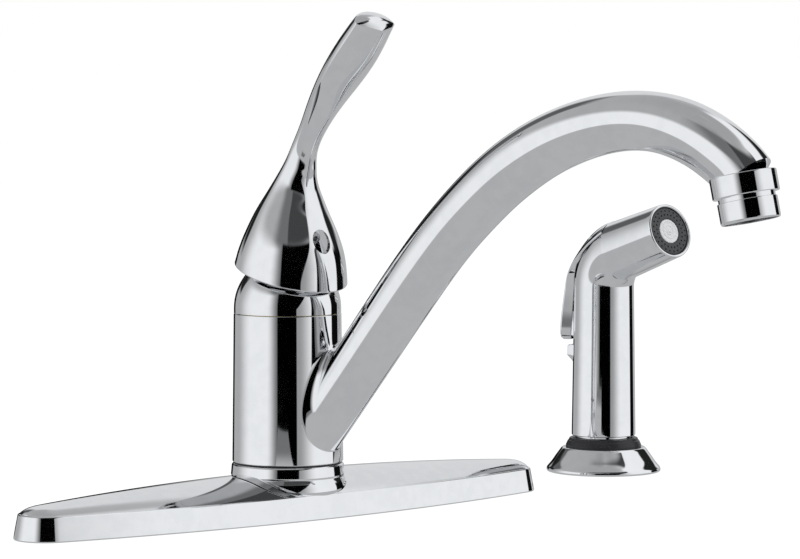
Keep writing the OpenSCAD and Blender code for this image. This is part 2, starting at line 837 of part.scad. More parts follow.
// Aerator, in the outlet's frame
groove_l = 1.7;
module aerator_housing() {
    color(chrome)
    outlet_frame()
        rotate_extrude($fn = 96)
            polygon([
                [9.2, 3], [aerator_thread_r, 3], [aerator_thread_r, outlet_l + groove_l],
                [aerator_r, outlet_l + groove_l], [aerator_r, outlet_l + groove_l + aerator_l - 1.2],
                [aerator_r - 0.6, outlet_l + groove_l + aerator_l],
                [aerator_r - 1.6, outlet_l + groove_l + aerator_l],
                [aerator_r - 1.6, outlet_l + groove_l + aerator_l - 4],
                [9.2, outlet_l + groove_l + aerator_l - 5]
            ]);
}
module aerator_insert() {
    color(black_plastic)
    outlet_frame()
        translate([0, 0, outlet_l + groove_l + aerator_l - 3.9])
            difference() {
                cylinder(r = aerator_r - 1.6 - thin_gap, h = 2.9);
                for (k = [0:2])
                    for (i = [0:max(0, 6 * k - 1)])
                        rotate([0, 0, k == 0 ? 0 : 60 * i / k])
                            translate([3 * k, 0, -1])
                                cylinder(r = 1, h = 6, $fn = 16);
            }
}
module aerator_washer() {
    color(rubber)
    outlet_frame()
        translate([0, 0, 1.2])
            difference() {
                cylinder(r = aerator_thread_r - 0.1, h = 1.75);
                translate([0, 0, -1])
                    cylinder(r = 8, h = 5);
            }
}

// Sprayer, drawn about its own axis with the nozzle towards -Y
module at_sprayer() {
    translate([spray_x, spray_y, 0])
        children();
}
guide_r = 17.2;
guide_bore_r = 13;
guide_shank_r = 14.6;
guide_top = flange_h + 4.5;
guide_reach = 40;
guide_washer_r = 21;
guide_nut_h = 8;
shell_foot = guide_top + free_gap;
module spray_flange() {
    color(chrome)
    at_sprayer()
        rotate_extrude($fn = 96)
            polygon([
                [guide_shank_r + 0.2, 0], [flange_r - 0.4, 0], [flange_r, 0.6], [flange_r - 0.2, 1.8],
                [flange_r - 2.2, 4], [flange_r - 4.2, 7], [guide_r + 2.2, flange_h - 0.6],
                [guide_r + 1.6, flange_h], [guide_shank_r + 0.2, flange_h]
            ]);
}
module spray_guide() {
    color(black_plastic)
    at_sprayer()
        rotate_extrude($fn = 72)
            polygon([
                [guide_bore_r, flange_h - 6], [guide_bore_r, guide_top],
                [guide_r - 1.4, guide_top], [guide_r - 1.2, flange_h + 3], [guide_r - 0.4, flange_h + 2.8],
                [guide_r, flange_h + 0.4], [guide_r, flange_h],
                [guide_shank_r, flange_h], [guide_shank_r, -guide_reach],
                [guide_bore_r - 1.6, -guide_reach], [guide_bore_r - 1.6, flange_h - 8]
            ]);
}
module guide_washer() {
    color(rubber)
    at_sprayer()
        translate([0, 0, -deck_t - washer_t])
            difference() {
                cylinder(r = guide_washer_r, h = washer_t);
                translate([0, 0, -1])
                    cylinder(r = guide_shank_r + free_gap, h = washer_t + 2);
            }
}
module guide_nut() {
    color(white_plastic)
    at_sprayer()
        translate([0, 0, -deck_t - washer_t - guide_nut_h])
            difference() {
                union() {
                    cylinder(r = guide_washer_r - 1, h = guide_nut_h, $fn = 8);
                    translate([0, 0, guide_nut_h - 2])
                        cylinder(r = guide_washer_r, h = 2);
                }
                translate([0, 0, -1])
                    cylinder(r = guide_shank_r + thin_gap, h = guide_nut_h + 2);
            }
}

// The sprayer's centre line: up, round the bend and out along the head
head_turn = 90 - head_rise;
head_start = [-bend_r * (1 - cos(head_turn)), bend_z + bend_r * sin(head_turn)];
module head_frame() {
    translate([0, head_start[0], head_start[1]])
        rotate([head_turn, 0, 0])
            children();
}
module shell_bend(r) {
    translate([0, -bend_r, bend_z])
        rotate([90, 0, 90])
            rotate_extrude(angle = head_turn, $fn = 144)
                translate([bend_r, 0])
                    circle(r = r, $fn = 72);
}
// The straight parts reach a little way into the bend and lie just inside its skin
bend_lap = 0.5;
lap_step = 0.03;
spigot_r = 12.6;
spigot_foot = flange_h - 6 + free_gap;
valve_foot = 62;
valve_top = 82;
handle_bore_r = 11.2;
head_bore_r = 7;
plunger_z = 74;
plunger_r = 2.6;
ring_seat = 3.5;
ring_wall = 1.4;
module spray_body() {
    color(chrome)
    at_sprayer()
        difference() {
            union() {
                translate([0, 0, shell_foot])
                    cylinder(r1 = shell_r_low, r2 = shell_r_top - lap_step,
                        h = bend_z - shell_foot + bend_lap, $fn = 96);
                shell_bend(shell_r_top);
                head_frame()
                    translate([0, 0, -bend_lap])
                        cylinder(r1 = shell_r_top - lap_step, r2 = head_r, h = head_l + bend_lap, $fn = 96);
                translate([0, 0, spigot_foot])
                    cylinder(r = spigot_r, h = shell_foot - spigot_foot + 1);
                intersection() {
                    translate([0, 0, knuckle_top - 7])
                        rotate_extrude($fn = 96)
                            polygon([
                                [8, -2], [shell_r_low - 1, -2], [shell_r_low + 1.6, 0.6],
                                [shell_r_low + 2.6, 3], [shell_r_low + 2.6, 6],
                                [shell_r_low + 1.6, 7], [8, 7]
                            ]);
                    translate([-11, 0, 0])
                        cube([22, 40, 100]);
                }
            }
            translate([0, 0, spigot_foot - 1])
                cylinder(r = handle_bore_r, h = bend_z - spigot_foot + 1, $fn = 72);
            shell_bend(head_bore_r);
            head_frame()
                translate([0, 0, -bend_lap])
                    cylinder(r = head_bore_r - lap_step, h = head_l + 1);
            head_frame()
                translate([0, 0, head_l - ring_seat])
                    cylinder(r = head_r - ring_wall, h = 2 * ring_seat, $fn = 72);
            translate([0, 0, plunger_z])
                rotate([-90, 0, 0])
                    cylinder(r = plunger_r + 0.4, h = 2 * shell_r_low, $fn = 32);
            trigger_pocket();
            trigger_axis()
                cylinder(r = pin_r + thin_gap, h = 40, center = true, $fn = 32);
        }
}
// Axis of the trigger's pin, across the sprayer behind the bend
trigger_y = -2;
trigger_z = 106;
module trigger_axis() {
    translate([0, trigger_y, trigger_z])
        rotate([0, 90, 0])
            children();
}
trigger_foot = 59.6;
pin_half = 10.4;
trigger_lift = 6.8;
knuckle_top = trigger_foot - 0.1 - (shell_r_top + trigger_lift - trigger_y) * sin(trigger_travel);
// The shell's pocket for the lever: depth, half of its angle, and the turn at which it starts
pocket_depth = 1.6;
pocket_half = 63;
pocket_start = 9;
module trigger_pocket() {
    far = 2 * shell_r_top;
    translate([0, -bend_r, bend_z])
        rotate([90, 0, 90])
            rotate([0, 0, pocket_start])
                rotate_extrude(angle = head_turn + 0.5 - pocket_start, $fn = 144)
                    translate([bend_r, 0])
                        difference() {
                            intersection() {
                                circle(r = shell_r_top + trigger_lift, $fn = 72);
                                polygon([
                                    [0, 0], [far * cos(pocket_half), -far * sin(pocket_half)],
                                    [far, 0], [far * cos(pocket_half), far * sin(pocket_half)]
                                ]);
                            }
                            circle(r = shell_r_top - pocket_depth, $fn = 72);
                        }
}
// Each station of the lever: turn along the bend, distance below it, how far the outer and the
// inner face stand off the shell, and half of the angle that it wraps
trigger_stations = [
    [0, bend_z - trigger_foot, trigger_lift - 0.4, 5, 35],
    [0, bend_z - trigger_foot - 2, trigger_lift, 5.1, 36],
    [0, bend_z - trigger_foot - 8, trigger_lift - 0.2, 4.9, 37],
    [0, 9, 5.7, 4, 38],
    [0, 0, 4.4, 2.8, 40],
    [head_turn / 6, 0, 3.4, 1.9, 43],
    [head_turn / 3, 0, 2.1, -0.1, 49],
    [head_turn / 2, 0, 1.1, -0.6, 55],
    [head_turn * 2 / 3, 0, 0.7, -1, 58],
    [head_turn * 5 / 6, 0, 0.5, -1.25, 58],
    [head_turn - 1, 0, 0.3, -1.3, 52]
];
lever_steps = 9;
function lever_point(s, lift, angle) =
    let (
        r = shell_r_top + lift,
        out = bend_r + r * cos(angle)
    )
    [
        r * sin(angle),
        out * cos(s[0]) - bend_r + s[1] * sin(s[0]),
        bend_z + out * sin(s[0]) - s[1] * cos(s[0])
    ];
function lever_ring(s) = concat(
    [for (k = [0:lever_steps]) lever_point(s, s[2], s[4] * (1 - 2 * k / lever_steps))],
    [for (k = [0:lever_steps]) lever_point(s, s[3], s[4] * (2 * k / lever_steps - 1))]
);
module trigger() {
    path = smooth(trigger_stations, 2);
    first = path[0];
    last = path[len(path) - 1];
    color(chrome)
    at_sprayer()
        difference() {
            skin([for (s = path) lever_ring(s)],
                lever_point(first, (first[2] + first[3]) / 2, 0),
                lever_point(last, (last[2] + last[3]) / 2, 0));
            trigger_axis()
                cylinder(r = pin_r + thin_gap, h = 60, center = true, $fn = 32);
        }
}
module trigger_pin() {
    color(steel)
    at_sprayer()
        trigger_axis()
            cylinder(r = pin_r, h = 2 * pin_half, center = true, $fn = 32);
}
valve_bore_r = 3;
spring_seat_y = shell_r_low - 10.6;
spring_pocket_r = 4.6;
module spray_valve() {
    color(white_plastic)
    at_sprayer()
        difference() {
            translate([0, 0, valve_foot])
                cylinder(r = handle_bore_r - thin_gap, h = valve_top - valve_foot);
            translate([0, 0, valve_foot - 1])
                cylinder(r = valve_bore_r, h = valve_top - valve_foot + 2);
            translate([0, -2 * valve_bore_r, plunger_z])
                rotate([-90, 0, 0])
                    cylinder(r = plunger_r + thin_gap, h = 2 * handle_bore_r, $fn = 32);
            translate([0, spring_seat_y, plunger_z])
                rotate([-90, 0, 0])
                    cylinder(r = spring_pocket_r, h = handle_bore_r, $fn = 32);
        }
}
plunger_tip = 17.3;
plunger_start = 3;
plunger_ring_y = shell_r_low - 5.2;
plunger_ring_t = 0.9;
module plunger() {
    color(brass)
    at_sprayer()
        translate([0, -plunger_start, plunger_z])
            rotate([-90, 0, 0])
                union() {
                    cylinder(r = plunger_r, h = plunger_start + plunger_tip, $fn = 32);
                    translate([0, 0, plunger_start + plunger_ring_y])
                        cylinder(r = spring_coil_r + spring_wire, h = plunger_ring_t, $fn = 32);
                }
}
// Compression spring between the valve's seat and the plunger's ring. Pressed home, its turns just
// clear each other.
spring_turns = 3;
spring_wire = 0.28;
spring_coil_r = 3.55;
spring_steps = 14;
spring_foot = spring_seat_y + 0.1;
spring_l = plunger_ring_y - thin_gap - spring_foot;
function spring_ring(k) =
    let (
        t = 360 * k / spring_steps,
        z = spring_wire + (spring_l - 2 * spring_wire) * k / (spring_turns * spring_steps)
    )
    [for (j = [0:5])
        let (r = spring_coil_r + spring_wire * cos(60 * j))
        [r * cos(t), r * sin(t), z + spring_wire * sin(60 * j)]];
module plunger_spring() {
    color(steel)
    at_sprayer()
        translate([0, spring_foot, plunger_z])
            rotate([-90, 0, 0])
                skin([for (k = [0:spring_turns * spring_steps]) spring_ring(k)],
                    [spring_coil_r, 0, spring_wire], [spring_coil_r, 0, spring_l - spring_wire]);
}
disc_r = 5.5;
jet_count = 24;
jet_circle_r = 9;
jet_r = 0.45;
module nozzle_ring() {
    color(black_plastic)
    at_sprayer()
        head_frame()
            translate([0, 0, head_l - ring_seat])
                difference() {
                    cylinder(r = head_r - ring_wall - thin_gap, h = ring_seat - 0.6, $fn = 72);
                    translate([0, 0, -1])
                        cylinder(r = disc_r + 0.1, h = ring_seat + 2);
                    for (i = [0:jet_count - 1])
                        rotate([0, 0, 360 / jet_count * i])
                            translate([jet_circle_r, 0, 1])
                                cylinder(r = jet_r, h = ring_seat, $fn = 16);
                }
}
module spray_disc() {
    color(white_plastic)
    at_sprayer()
        head_frame()
            translate([0, 0, head_l - ring_seat - 1])
                union() {
                    cylinder(r = disc_r, h = ring_seat + 0.3);
                    cylinder(r = head_bore_r - 0.1, h = 0.9);
                }
}
connector_foot = -22;
connector_collar_z = -10;
connector_top = 18;
connector_r = 7;
connector_bore_r = 3;
module hose_connector() {
    color(black_plastic)
    at_sprayer()
        difference() {
            union() {
                translate([0, 0, connector_collar_z])
                    cylinder(r = handle_bore_r - thin_gap, h = connector_top - connector_collar_z);
                translate([0, 0, connector_foot])
                    cylinder(r = connector_r, h = connector_top - connector_foot - 1);
            }
            translate([0, 0, connector_foot - 1])
                cylinder(r = connector_bore_r, h = connector_top - connector_foot + 2);
        }
}

deck_plate();
deck_gasket();
mounting_studs();
stud_washers();
stud_nuts();
valve_body();
supply_inlets();
spray_outlet();
diverter();
lower_o_ring();
upper_o_ring();
glide_ring();
cartridge_seals();
cartridge_base();
fixed_disc();
moving_disc();
disc_carrier();
cartridge_rotor();
stem_pin();
stem();
cartridge_housing();
retaining_nut();
bonnet_cap();
handle();
set_screw();
spout();
aerator_housing();
aerator_insert();
aerator_washer();
spray_flange();
spray_guide();
guide_washer();
guide_nut();
spray_body();
trigger();
trigger_pin();
spray_valve();
plunger();
plunger_spring();
nozzle_ring();
spray_disc();
hose_connector();
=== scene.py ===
import json
from math import acos, asin, atan, atan2, cos, degrees, hypot, pi, radians, sin, sqrt

import bpy
import numpy as np
from mathutils import Matrix, Vector


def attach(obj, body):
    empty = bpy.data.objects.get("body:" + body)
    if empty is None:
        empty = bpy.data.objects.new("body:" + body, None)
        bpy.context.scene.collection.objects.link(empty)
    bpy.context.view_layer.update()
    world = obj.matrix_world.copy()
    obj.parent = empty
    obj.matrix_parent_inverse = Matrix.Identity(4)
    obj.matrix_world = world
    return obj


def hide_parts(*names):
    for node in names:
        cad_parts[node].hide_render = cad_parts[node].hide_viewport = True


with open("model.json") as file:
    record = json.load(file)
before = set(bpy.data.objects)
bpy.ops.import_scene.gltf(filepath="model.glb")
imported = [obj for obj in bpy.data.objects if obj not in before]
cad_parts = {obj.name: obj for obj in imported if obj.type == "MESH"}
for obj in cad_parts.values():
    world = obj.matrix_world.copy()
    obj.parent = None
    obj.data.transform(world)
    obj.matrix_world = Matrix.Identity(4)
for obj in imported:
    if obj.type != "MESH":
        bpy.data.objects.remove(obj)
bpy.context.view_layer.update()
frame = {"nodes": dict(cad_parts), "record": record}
millimetre = 0.001
# Outlines that reach the axis stop this far from it, in millimetres
nearAxis = 0.01


# Meshes: every outline below is in millimetres, and becomes metres in newMesh

def addObject(name, data):
    added = bpy.data.objects.new(name, data)
    bpy.context.scene.collection.objects.link(added)
    return added


def newMesh(name, shells, sharpAngle=32):
    points, faces = [], []
    for shellPoints, shellFaces in shells:
        start = len(points)
        points.extend(tuple(float(v) * millimetre for v in p) for p in shellPoints)
        faces.extend(tuple(start + i for i in face) for face in shellFaces)
    data = bpy.data.meshes.new(name)
    data.from_pydata(points, [], faces)
    data.update()
    data.shade_smooth()
    data.set_sharp_from_angle(angle=radians(sharpAngle))
    return addObject(name, data)


# Large faces give the shading at their edges, so that a straight wall mirrors as a straight wall
def flatten(piece):
    weighted = piece.modifiers.new("flatShading", "WEIGHTED_NORMAL")
    weighted.keep_sharp = True
    weighted.weight = 50


def finishPiece(piece, material, body, nodes):
    piece.data.materials.append(material)
    flatten(piece)
    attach(piece, body)
    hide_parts(*nodes)


# Skin over a row of rings: a closed row makes a tube bent into a ring, an open one gets two caps
def loft(rings, closed=False):
    rings = [np.asarray(r, float) for r in rings]
    count, rows = len(rings[0]), len(rings)
    points = [p for r in rings for p in r]
    faces = []
    for i in range(rows if closed else rows - 1):
        a, b = i * count, (i + 1) % rows * count
        for j in range(count):
            k = (j + 1) % count
            faces.append((a + j, a + k, b + k, b + j))
    if not closed:
        points += [rings[0].mean(0), rings[-1].mean(0)]
        first, last, end = rows * count, rows * count + 1, (rows - 1) * count
        for j in range(count):
            k = (j + 1) % count
            faces.append((first, k, j))
            faces.append((last, end + j, end + k))
    return outward(points, faces)


# Turns the faces over if they look inward, judged by the signed volume
def outward(points, faces):
    corners = np.array([(face[0], face[i], face[i + 1]) for face in faces for i in range(1, len(face) - 1)])
    a, b, c = (np.asarray(points, float)[corners[:, k]] for k in range(3))
    if np.sum(a * np.cross(b, c)) < 0:
        faces = [tuple(reversed(face)) for face in faces]
    return points, faces


# Values from 0 to the span, at even steps
def evenly(span, count):
    return [span * k / count for k in range(count + 1)]


# Corners of a closed outline become short curves; each point is (radius, height, roundness). Fills gives
# the number of extra points on the straight after each corner.
def soften(outline, steps=5, fills=()):
    result = []
    total = len(outline)
    for i, corner in enumerate(outline):
        here = np.array(corner[:2], float)
        roundness = corner[2] if len(corner) > 2 else 0
        if not roundness:
            curve = [here]
        else:
            before = np.array(outline[i - 1][:2], float) - here
            after = np.array(outline[(i + 1) % total][:2], float) - here
            start = here + before * min(0.48, roundness / np.linalg.norm(before))
            end = here + after * min(0.48, roundness / np.linalg.norm(after))
            curve = [start * (1 - t) ** 2 + here * 2 * t * (1 - t) + end * t * t for t in evenly(1, steps)]
        result.append(curve)
    dense = []
    for i, curve in enumerate(result):
        dense += curve
        extra = fills[i] if fills else 0
        target = result[(i + 1) % total][0]
        dense += [curve[-1] + (target - curve[-1]) * (k + 1) / (extra + 1) for k in range(extra)]
    return dense


# A closed outline turned round the z axis, then moved into place if it stands in a frame of its own
def lathe(outline, sides, place=None):
    turns = np.linspace(0, 2 * pi, sides, endpoint=False)
    rings = []
    for radius, height in outline:
        ring = np.column_stack([radius * np.cos(turns), radius * np.sin(turns), np.full(sides, height)])
        rings.append(ring if place is None else place(ring))
    return loft(rings, closed=True)


# A round plug to cut with, from foot to top along its frame
def plug(radius, foot, top, sides, place):
    return lathe([(nearAxis, foot), (radius, foot), (radius, top), (nearAxis, top)], sides, place)


# Frame with its own origin and axes, as a function that moves points from it
def frameAt(origin, xAxis, yAxis, zAxis):
    axes = np.array([xAxis, yAxis, zAxis], float)
    return lambda points: np.asarray(points, float) @ axes + np.array(origin, float)


# Natural cubic spline through stations of any width, spaced by the distance of their first two columns
def spline(stations, count):
    s = np.array(stations, float)
    steps = np.linalg.norm(np.diff(s[:, :2], axis=0), axis=1)
    t = np.concatenate([[0], np.cumsum(steps)])
    size = len(t)
    matrix, right = np.eye(size), np.zeros_like(s)
    for i in range(1, size - 1):
        h, g = t[i] - t[i - 1], t[i + 1] - t[i]
        matrix[i, i - 1:i + 2] = h, 2 * (h + g), g
        right[i] = 6 * ((s[i + 1] - s[i]) / g - (s[i] - s[i - 1]) / h)
    bend = np.linalg.solve(matrix, right)
    result = []
    for u in np.linspace(0, t[-1], count):
        i = min(size - 2, int(np.searchsorted(t, u, side="right")) - 1)
        h = t[i + 1] - t[i]
        a, b = (t[i + 1] - u) / h, (u - t[i]) / h
        result.append(a * s[i] + b * s[i + 1]
                      + ((a ** 3 - a) * bend[i] + (b ** 3 - b) * bend[i + 1]) * h * h / 6)
    return np.array(result)


threadShape = {"rowsPerPitch": 8, "flank": 2.4}


# Screw thread on a rod or a tube: the radius follows the turn, and fades out at both ends
def threaded(thread, centre):
    rows = int((thread["top"] - thread["foot"]) / thread["pitch"] * threadShape["rowsPerPitch"])
    sides = thread["sides"]
    rings = []
    for i in range(rows + 1):
        z = thread["foot"] + (thread["top"] - thread["foot"]) * i / rows
        fade = min(1, (z - thread["foot"]) / thread["pitch"], (thread["top"] - z) / thread["pitch"])
        ring = []
        for j in range(sides):
            phase = (z / thread["pitch"] - j / sides) % 1
            groove = min(1, threadShape["flank"] * abs(phase - 0.5)) * thread["depth"]
            radius = thread["radius"] - groove * fade - (1 - fade) * thread["depth"]
            angle = 2 * pi * j / sides
            ring.append([centre[0] + radius * cos(angle), centre[1] + radius * sin(angle), z])
        rings.append(ring)
    if not thread.get("bore"):
        return loft(rings)
    turns = np.linspace(0, 2 * pi, sides, endpoint=False)
    for z in (thread["top"], thread["foot"]):
        rings.append(np.column_stack([centre[0] + thread["bore"] * np.cos(turns),
                                      centre[1] + thread["bore"] * np.sin(turns), np.full(sides, z)]))
    return loft(rings, closed=True)


# Cuts a mesh by closed shells, and keeps the cut's edges sharp
def carve(piece, shells, sharpAngle=32):
    cutter = newMesh(piece.name + "Cutter", shells)
    cut = piece.modifiers.new("cut", "BOOLEAN")
    cut.operation = "DIFFERENCE"
    cut.solver = "EXACT"
    cut.object = cutter
    graph = bpy.context.evaluated_depsgraph_get()
    data = bpy.data.meshes.new_from_object(piece.evaluated_get(graph))
    piece.modifiers.clear()
    piece.data = data
    data.shade_smooth()
    data.set_sharp_from_angle(angle=radians(sharpAngle))
    bpy.data.objects.remove(cutter)


# Shader maths: a Wire is one socket, and plain arithmetic on it adds the nodes

class Wire:
    def __init__(self, graph, socket):
        self.graph = graph
        self.socket = socket

    def calc(self, operation, *terms):
        return self.graph.node("Math", {"operation": operation}, dict(enumerate(terms)))

    def __add__(self, other):
        return self.calc("ADD", self, other)

    def __sub__(self, other):
        return self.calc("SUBTRACT", self, other)

    def __mul__(self, other):
        return self.calc("MULTIPLY", self, other)

    def __rsub__(self, other):
        return self.calc("SUBTRACT", other, self)

    __radd__ = __add__
    __rmul__ = __mul__

    # 0 below the edge and 1 above it, over a soft width
    def past(self, edge, soft):
        return self.graph.node("MapRange", {"interpolation_type": "SMOOTHSTEP"},
                               {0: self, 1: edge - soft / 2, 2: edge + soft / 2, 3: 0.0, 4: 1.0})

    def between(self, low, high, soft):
        return self.past(low, soft) * (1 - self.past(high, soft))


class Graph:
    def __init__(self, tree):
        self.tree = tree

    # Adds a node: its type, its settings, then the values or wires of its sockets
    def node(self, kind, settings, values, output=0):
        made = self.tree.nodes.new("ShaderNode" + kind)
        for name, value in settings.items():
            setattr(made, name, value)
        for key, value in values.items():
            if isinstance(value, Wire):
                self.tree.links.new(value.socket, made.inputs[key])
            else:
                made.inputs[key].default_value = value
        return Wire(self, made.outputs[output]) if len(made.outputs) else None


def newMaterial(name):
    material = bpy.data.materials.new(name)
    material.use_nodes = True
    material.node_tree.nodes.clear()
    graph = Graph(material.node_tree)
    return material, graph, graph.node("TexCoord", {}, {}, "Object")


def endMaterial(material, graph, surface):
    graph.node("OutputMaterial", {}, {"Surface": surface})
    return material


def principled(material, graph, values):
    return endMaterial(material, graph, graph.node("BsdfPrincipled", {}, values))


def noise(graph, where, scale, detail=2.0, roughness=0.5):
    return graph.node("TexNoise", {},
                      {"Vector": where, "Scale": scale, "Detail": detail, "Roughness": roughness}, "Fac")


# The colour sockets of a mix node share their names, so they go by number
mixSockets = {"first": 6, "second": 7, "result": 2}


def mixed(graph, mask, first, second):
    first, second = (end if isinstance(end, Wire) else (*end, 1) for end in (first, second))
    return graph.node("Mix", {"data_type": "RGBA"},
                      {"Factor": mask, mixSockets["first"]: first, mixSockets["second"]: second},
                      mixSockets["result"])


# Whether a ray comes from the camera, straight or through something clear, and whether it is a mirrored one
def rayKinds(graph):
    straight, through, glossy = [graph.node("LightPath", {}, {}, name)
                               for name in ("Is Camera Ray", "Is Transmission Ray", "Is Glossy Ray")]
    return straight + through, glossy


def bumped(graph, height, strength, distance):
    return graph.node("Bump", {}, {"Strength": strength, "Distance": distance, "Height": height})


# Materials

chromeLook = {"bright": (0.90, 0.905, 0.915), "dull": (0.83, 0.84, 0.86), "dullShare": 0.5,
              "polish": 0.03, "smear": 0.035, "smearEdge": (0.27, 0.2), "cloudScale": 34, "wipeScale": 210,
              "waveScale": 26, "waveStrength": 0.6, "waveHeight": 0.00003}


def chromePlate():
    look = chromeLook
    material, graph, where = newMaterial("polishedChrome")
    cloud = noise(graph, where, look["cloudScale"], 3)
    wipe = noise(graph, where, look["wipeScale"], 2)
    smear = (cloud * wipe).past(*look["smearEdge"])
    wave = noise(graph, where, look["waveScale"], 1)
    return principled(material, graph, {
        "Base Color": mixed(graph, smear * look["dullShare"], look["bright"], look["dull"]),
        "Metallic": 1.0,
        "Roughness": smear * look["smear"] + look["polish"],
        "Normal": bumped(graph, wave, look["waveStrength"], look["waveHeight"]),
    })


# Turned metal: fine rings from the cutting tool along one axis, and a few dull patches
def turnedMetal(name, bright, dull, roughness, ringScale):
    material, graph, where = newMaterial(name)
    rings = graph.node("TexWave", {"wave_type": "BANDS", "bands_direction": "Z"},
                       {"Vector": where, "Scale": ringScale, "Distortion": 0.6, "Detail": 1.0}, "Fac")
    patches = noise(graph, where, 90, 3).past(0.55, 0.4)
    grain = noise(graph, where, 1400, 2)
    return principled(material, graph, {
        "Base Color": mixed(graph, patches * 0.8, bright, dull),
        "Metallic": 1.0,
        "Roughness": rings * 0.08 + patches * 0.1 + grain * 0.05 + roughness,
        "Normal": bumped(graph, rings + grain * 0.3, 0.25, 0.00004),
    })


# Moulded plastic: an even colour with a faint flow mark and a fine spark-eroded grain
def mouldedPlastic(name, colour, mark, roughness, grainHeight, coat=0.0):
    material, graph, where = newMaterial(name)
    flow = noise(graph, where, 60, 3)
    grain = noise(graph, where, 2600, 2, 0.6)
    scuff = noise(graph, where, 420, 4, 0.7).past(0.62, 0.12)
    return principled(material, graph, {
        "Base Color": mixed(graph, flow * 0.7 + scuff * 0.3, colour, mark),
        "Roughness": flow * 0.08 + scuff * 0.12 + roughness,
        "Coat Weight": coat,
        "Specular IOR Level": 0.35,
        "Normal": bumped(graph, grain, 0.35, grainHeight),
    })


def softRubber():
    material, graph, where = newMaterial("blackRubber")
    bloom = noise(graph, where, 130, 4, 0.65).past(0.5, 0.35)
    grain = noise(graph, where, 1900, 3)
    return principled(material, graph, {
        "Base Color": mixed(graph, bloom, (0.018, 0.018, 0.019), (0.045, 0.045, 0.047)),
        "Roughness": bloom * 0.15 + 0.62,
        "Normal": bumped(graph, grain, 0.5, 0.00005),
    })


def lappedCeramic():
    material, graph, where = newMaterial("lappedCeramic")
    clouds = noise(graph, where, 240, 3)
    specks = noise(graph, where, 3000, 1).past(0.72, 0.04)
    return principled(material, graph, {
        "Base Color": mixed(graph, clouds * 0.6 + specks * 0.4, (0.93, 0.92, 0.88), (0.80, 0.78, 0.72)),
        "Roughness": clouds * 0.06 + 0.1,
        "Coat Weight": 0.3,
    })


chrome = chromePlate()
brass = turnedMetal("turnedBrass", (0.80, 0.62, 0.32), (0.58, 0.43, 0.22), 0.2, 900)
steel = turnedMetal("zincSteel", (0.74, 0.75, 0.76), (0.56, 0.57, 0.59), 0.26, 1300)
blackPlastic = mouldedPlastic("blackAcetal", (0.012, 0.012, 0.014), (0.026, 0.026, 0.028), 0.3, 0.00003)
ringPlastic = mouldedPlastic("greyNozzlePlastic", (0.03, 0.031, 0.033), (0.055, 0.056, 0.058), 0.36, 0.00003)
whitePlastic = mouldedPlastic("whiteAcetal", (0.84, 0.84, 0.81), (0.76, 0.76, 0.72), 0.38, 0.00004)
discPlastic = mouldedPlastic("paleDiscPlastic", (0.56, 0.57, 0.58), (0.48, 0.49, 0.50), 0.4, 0.000002)
rubber = softRubber()
ceramic = lappedCeramic()
print("materials made")


# Camera, from the fit of the plate's outline and the hub's edges

camera = {"place": (-0.86424, -1.09825, 0.18327), "right": (0.764938, -0.644104, 0.0),
          "up": (0.039843, 0.047318, 0.998085), "back": (-0.64287, -0.763473, 0.061859),
          "lens": 153.0, "sensor": 36.0, "reach": 30}


def placeCamera():
    data = bpy.data.cameras.new("photoCamera")
    data.lens = camera["lens"]
    data.sensor_width = camera["sensor"]
    data.clip_end = camera["reach"]
    eye = addObject("photoCamera", data)
    turn = Matrix((camera["right"], camera["up"], camera["back"])).transposed().to_4x4()
    eye.matrix_world = Matrix.Translation(camera["place"]) @ turn
    bpy.context.scene.camera = eye


# Studio: what polished metal sees around it. Angles are in degrees, 0 towards the camera's side and
# positive to its right. Each card has from, to, softness, then lowest, highest, softness, and the tone
# out of 255 that it has in the metal. Later cards cover earlier ones. An eighth number is the slant of the
# right edge: the degrees that it moves right with each degree above the horizon.
studio = {
    "ground": 234,
    "ambient": 0.78,
    "tint": (0.97, 0.985, 1.0),
    "cards": [
        (126, 200, 6, -95, 95, 1, 176),
        (-200, -104, 44, -95, 95, 1, 165),
        (-200, -26, 1, 31, 95, 12, 166),
        (148, 200, 5, 8, 50, 8, 212),
        (-200, -162, 5, 8, 50, 8, 212),
        (-31, 0, 26, -95, 95, 1, 100),
        (0, 44, 40, -95, 95, 1, 146),
        (-176, -149, 3, -95, 12, 6, 20),
        (-157, -130, 5, 10, 26, 6, 34),
        (-157, -130, 8, 24, 48, 8, 90),
        (110, 136, 2, -95, 16, 6, 18),
        (117, 149, 5, 12, 42, 6, 38),
        (-200, 200, 1, 60, 95, 26, 158),
        (70, 150, 16, 45, 66, 6, 236),
        (-42, 30, 30, 31, 60, 8, 108),
        (-8, 21, 4, 33, 60, 8, 66, 0.85),
        (-20, 21, 2, -95, 33, 3, 5, 0.85),
        (-200, 200, 1, -95, -10, 3, 172),
    ],
}


# A tone as it's seen in the metal, turned into the light that gives it
def light(tone):
    return (tone / 255) ** 2.2 / chromeLook["bright"][1]


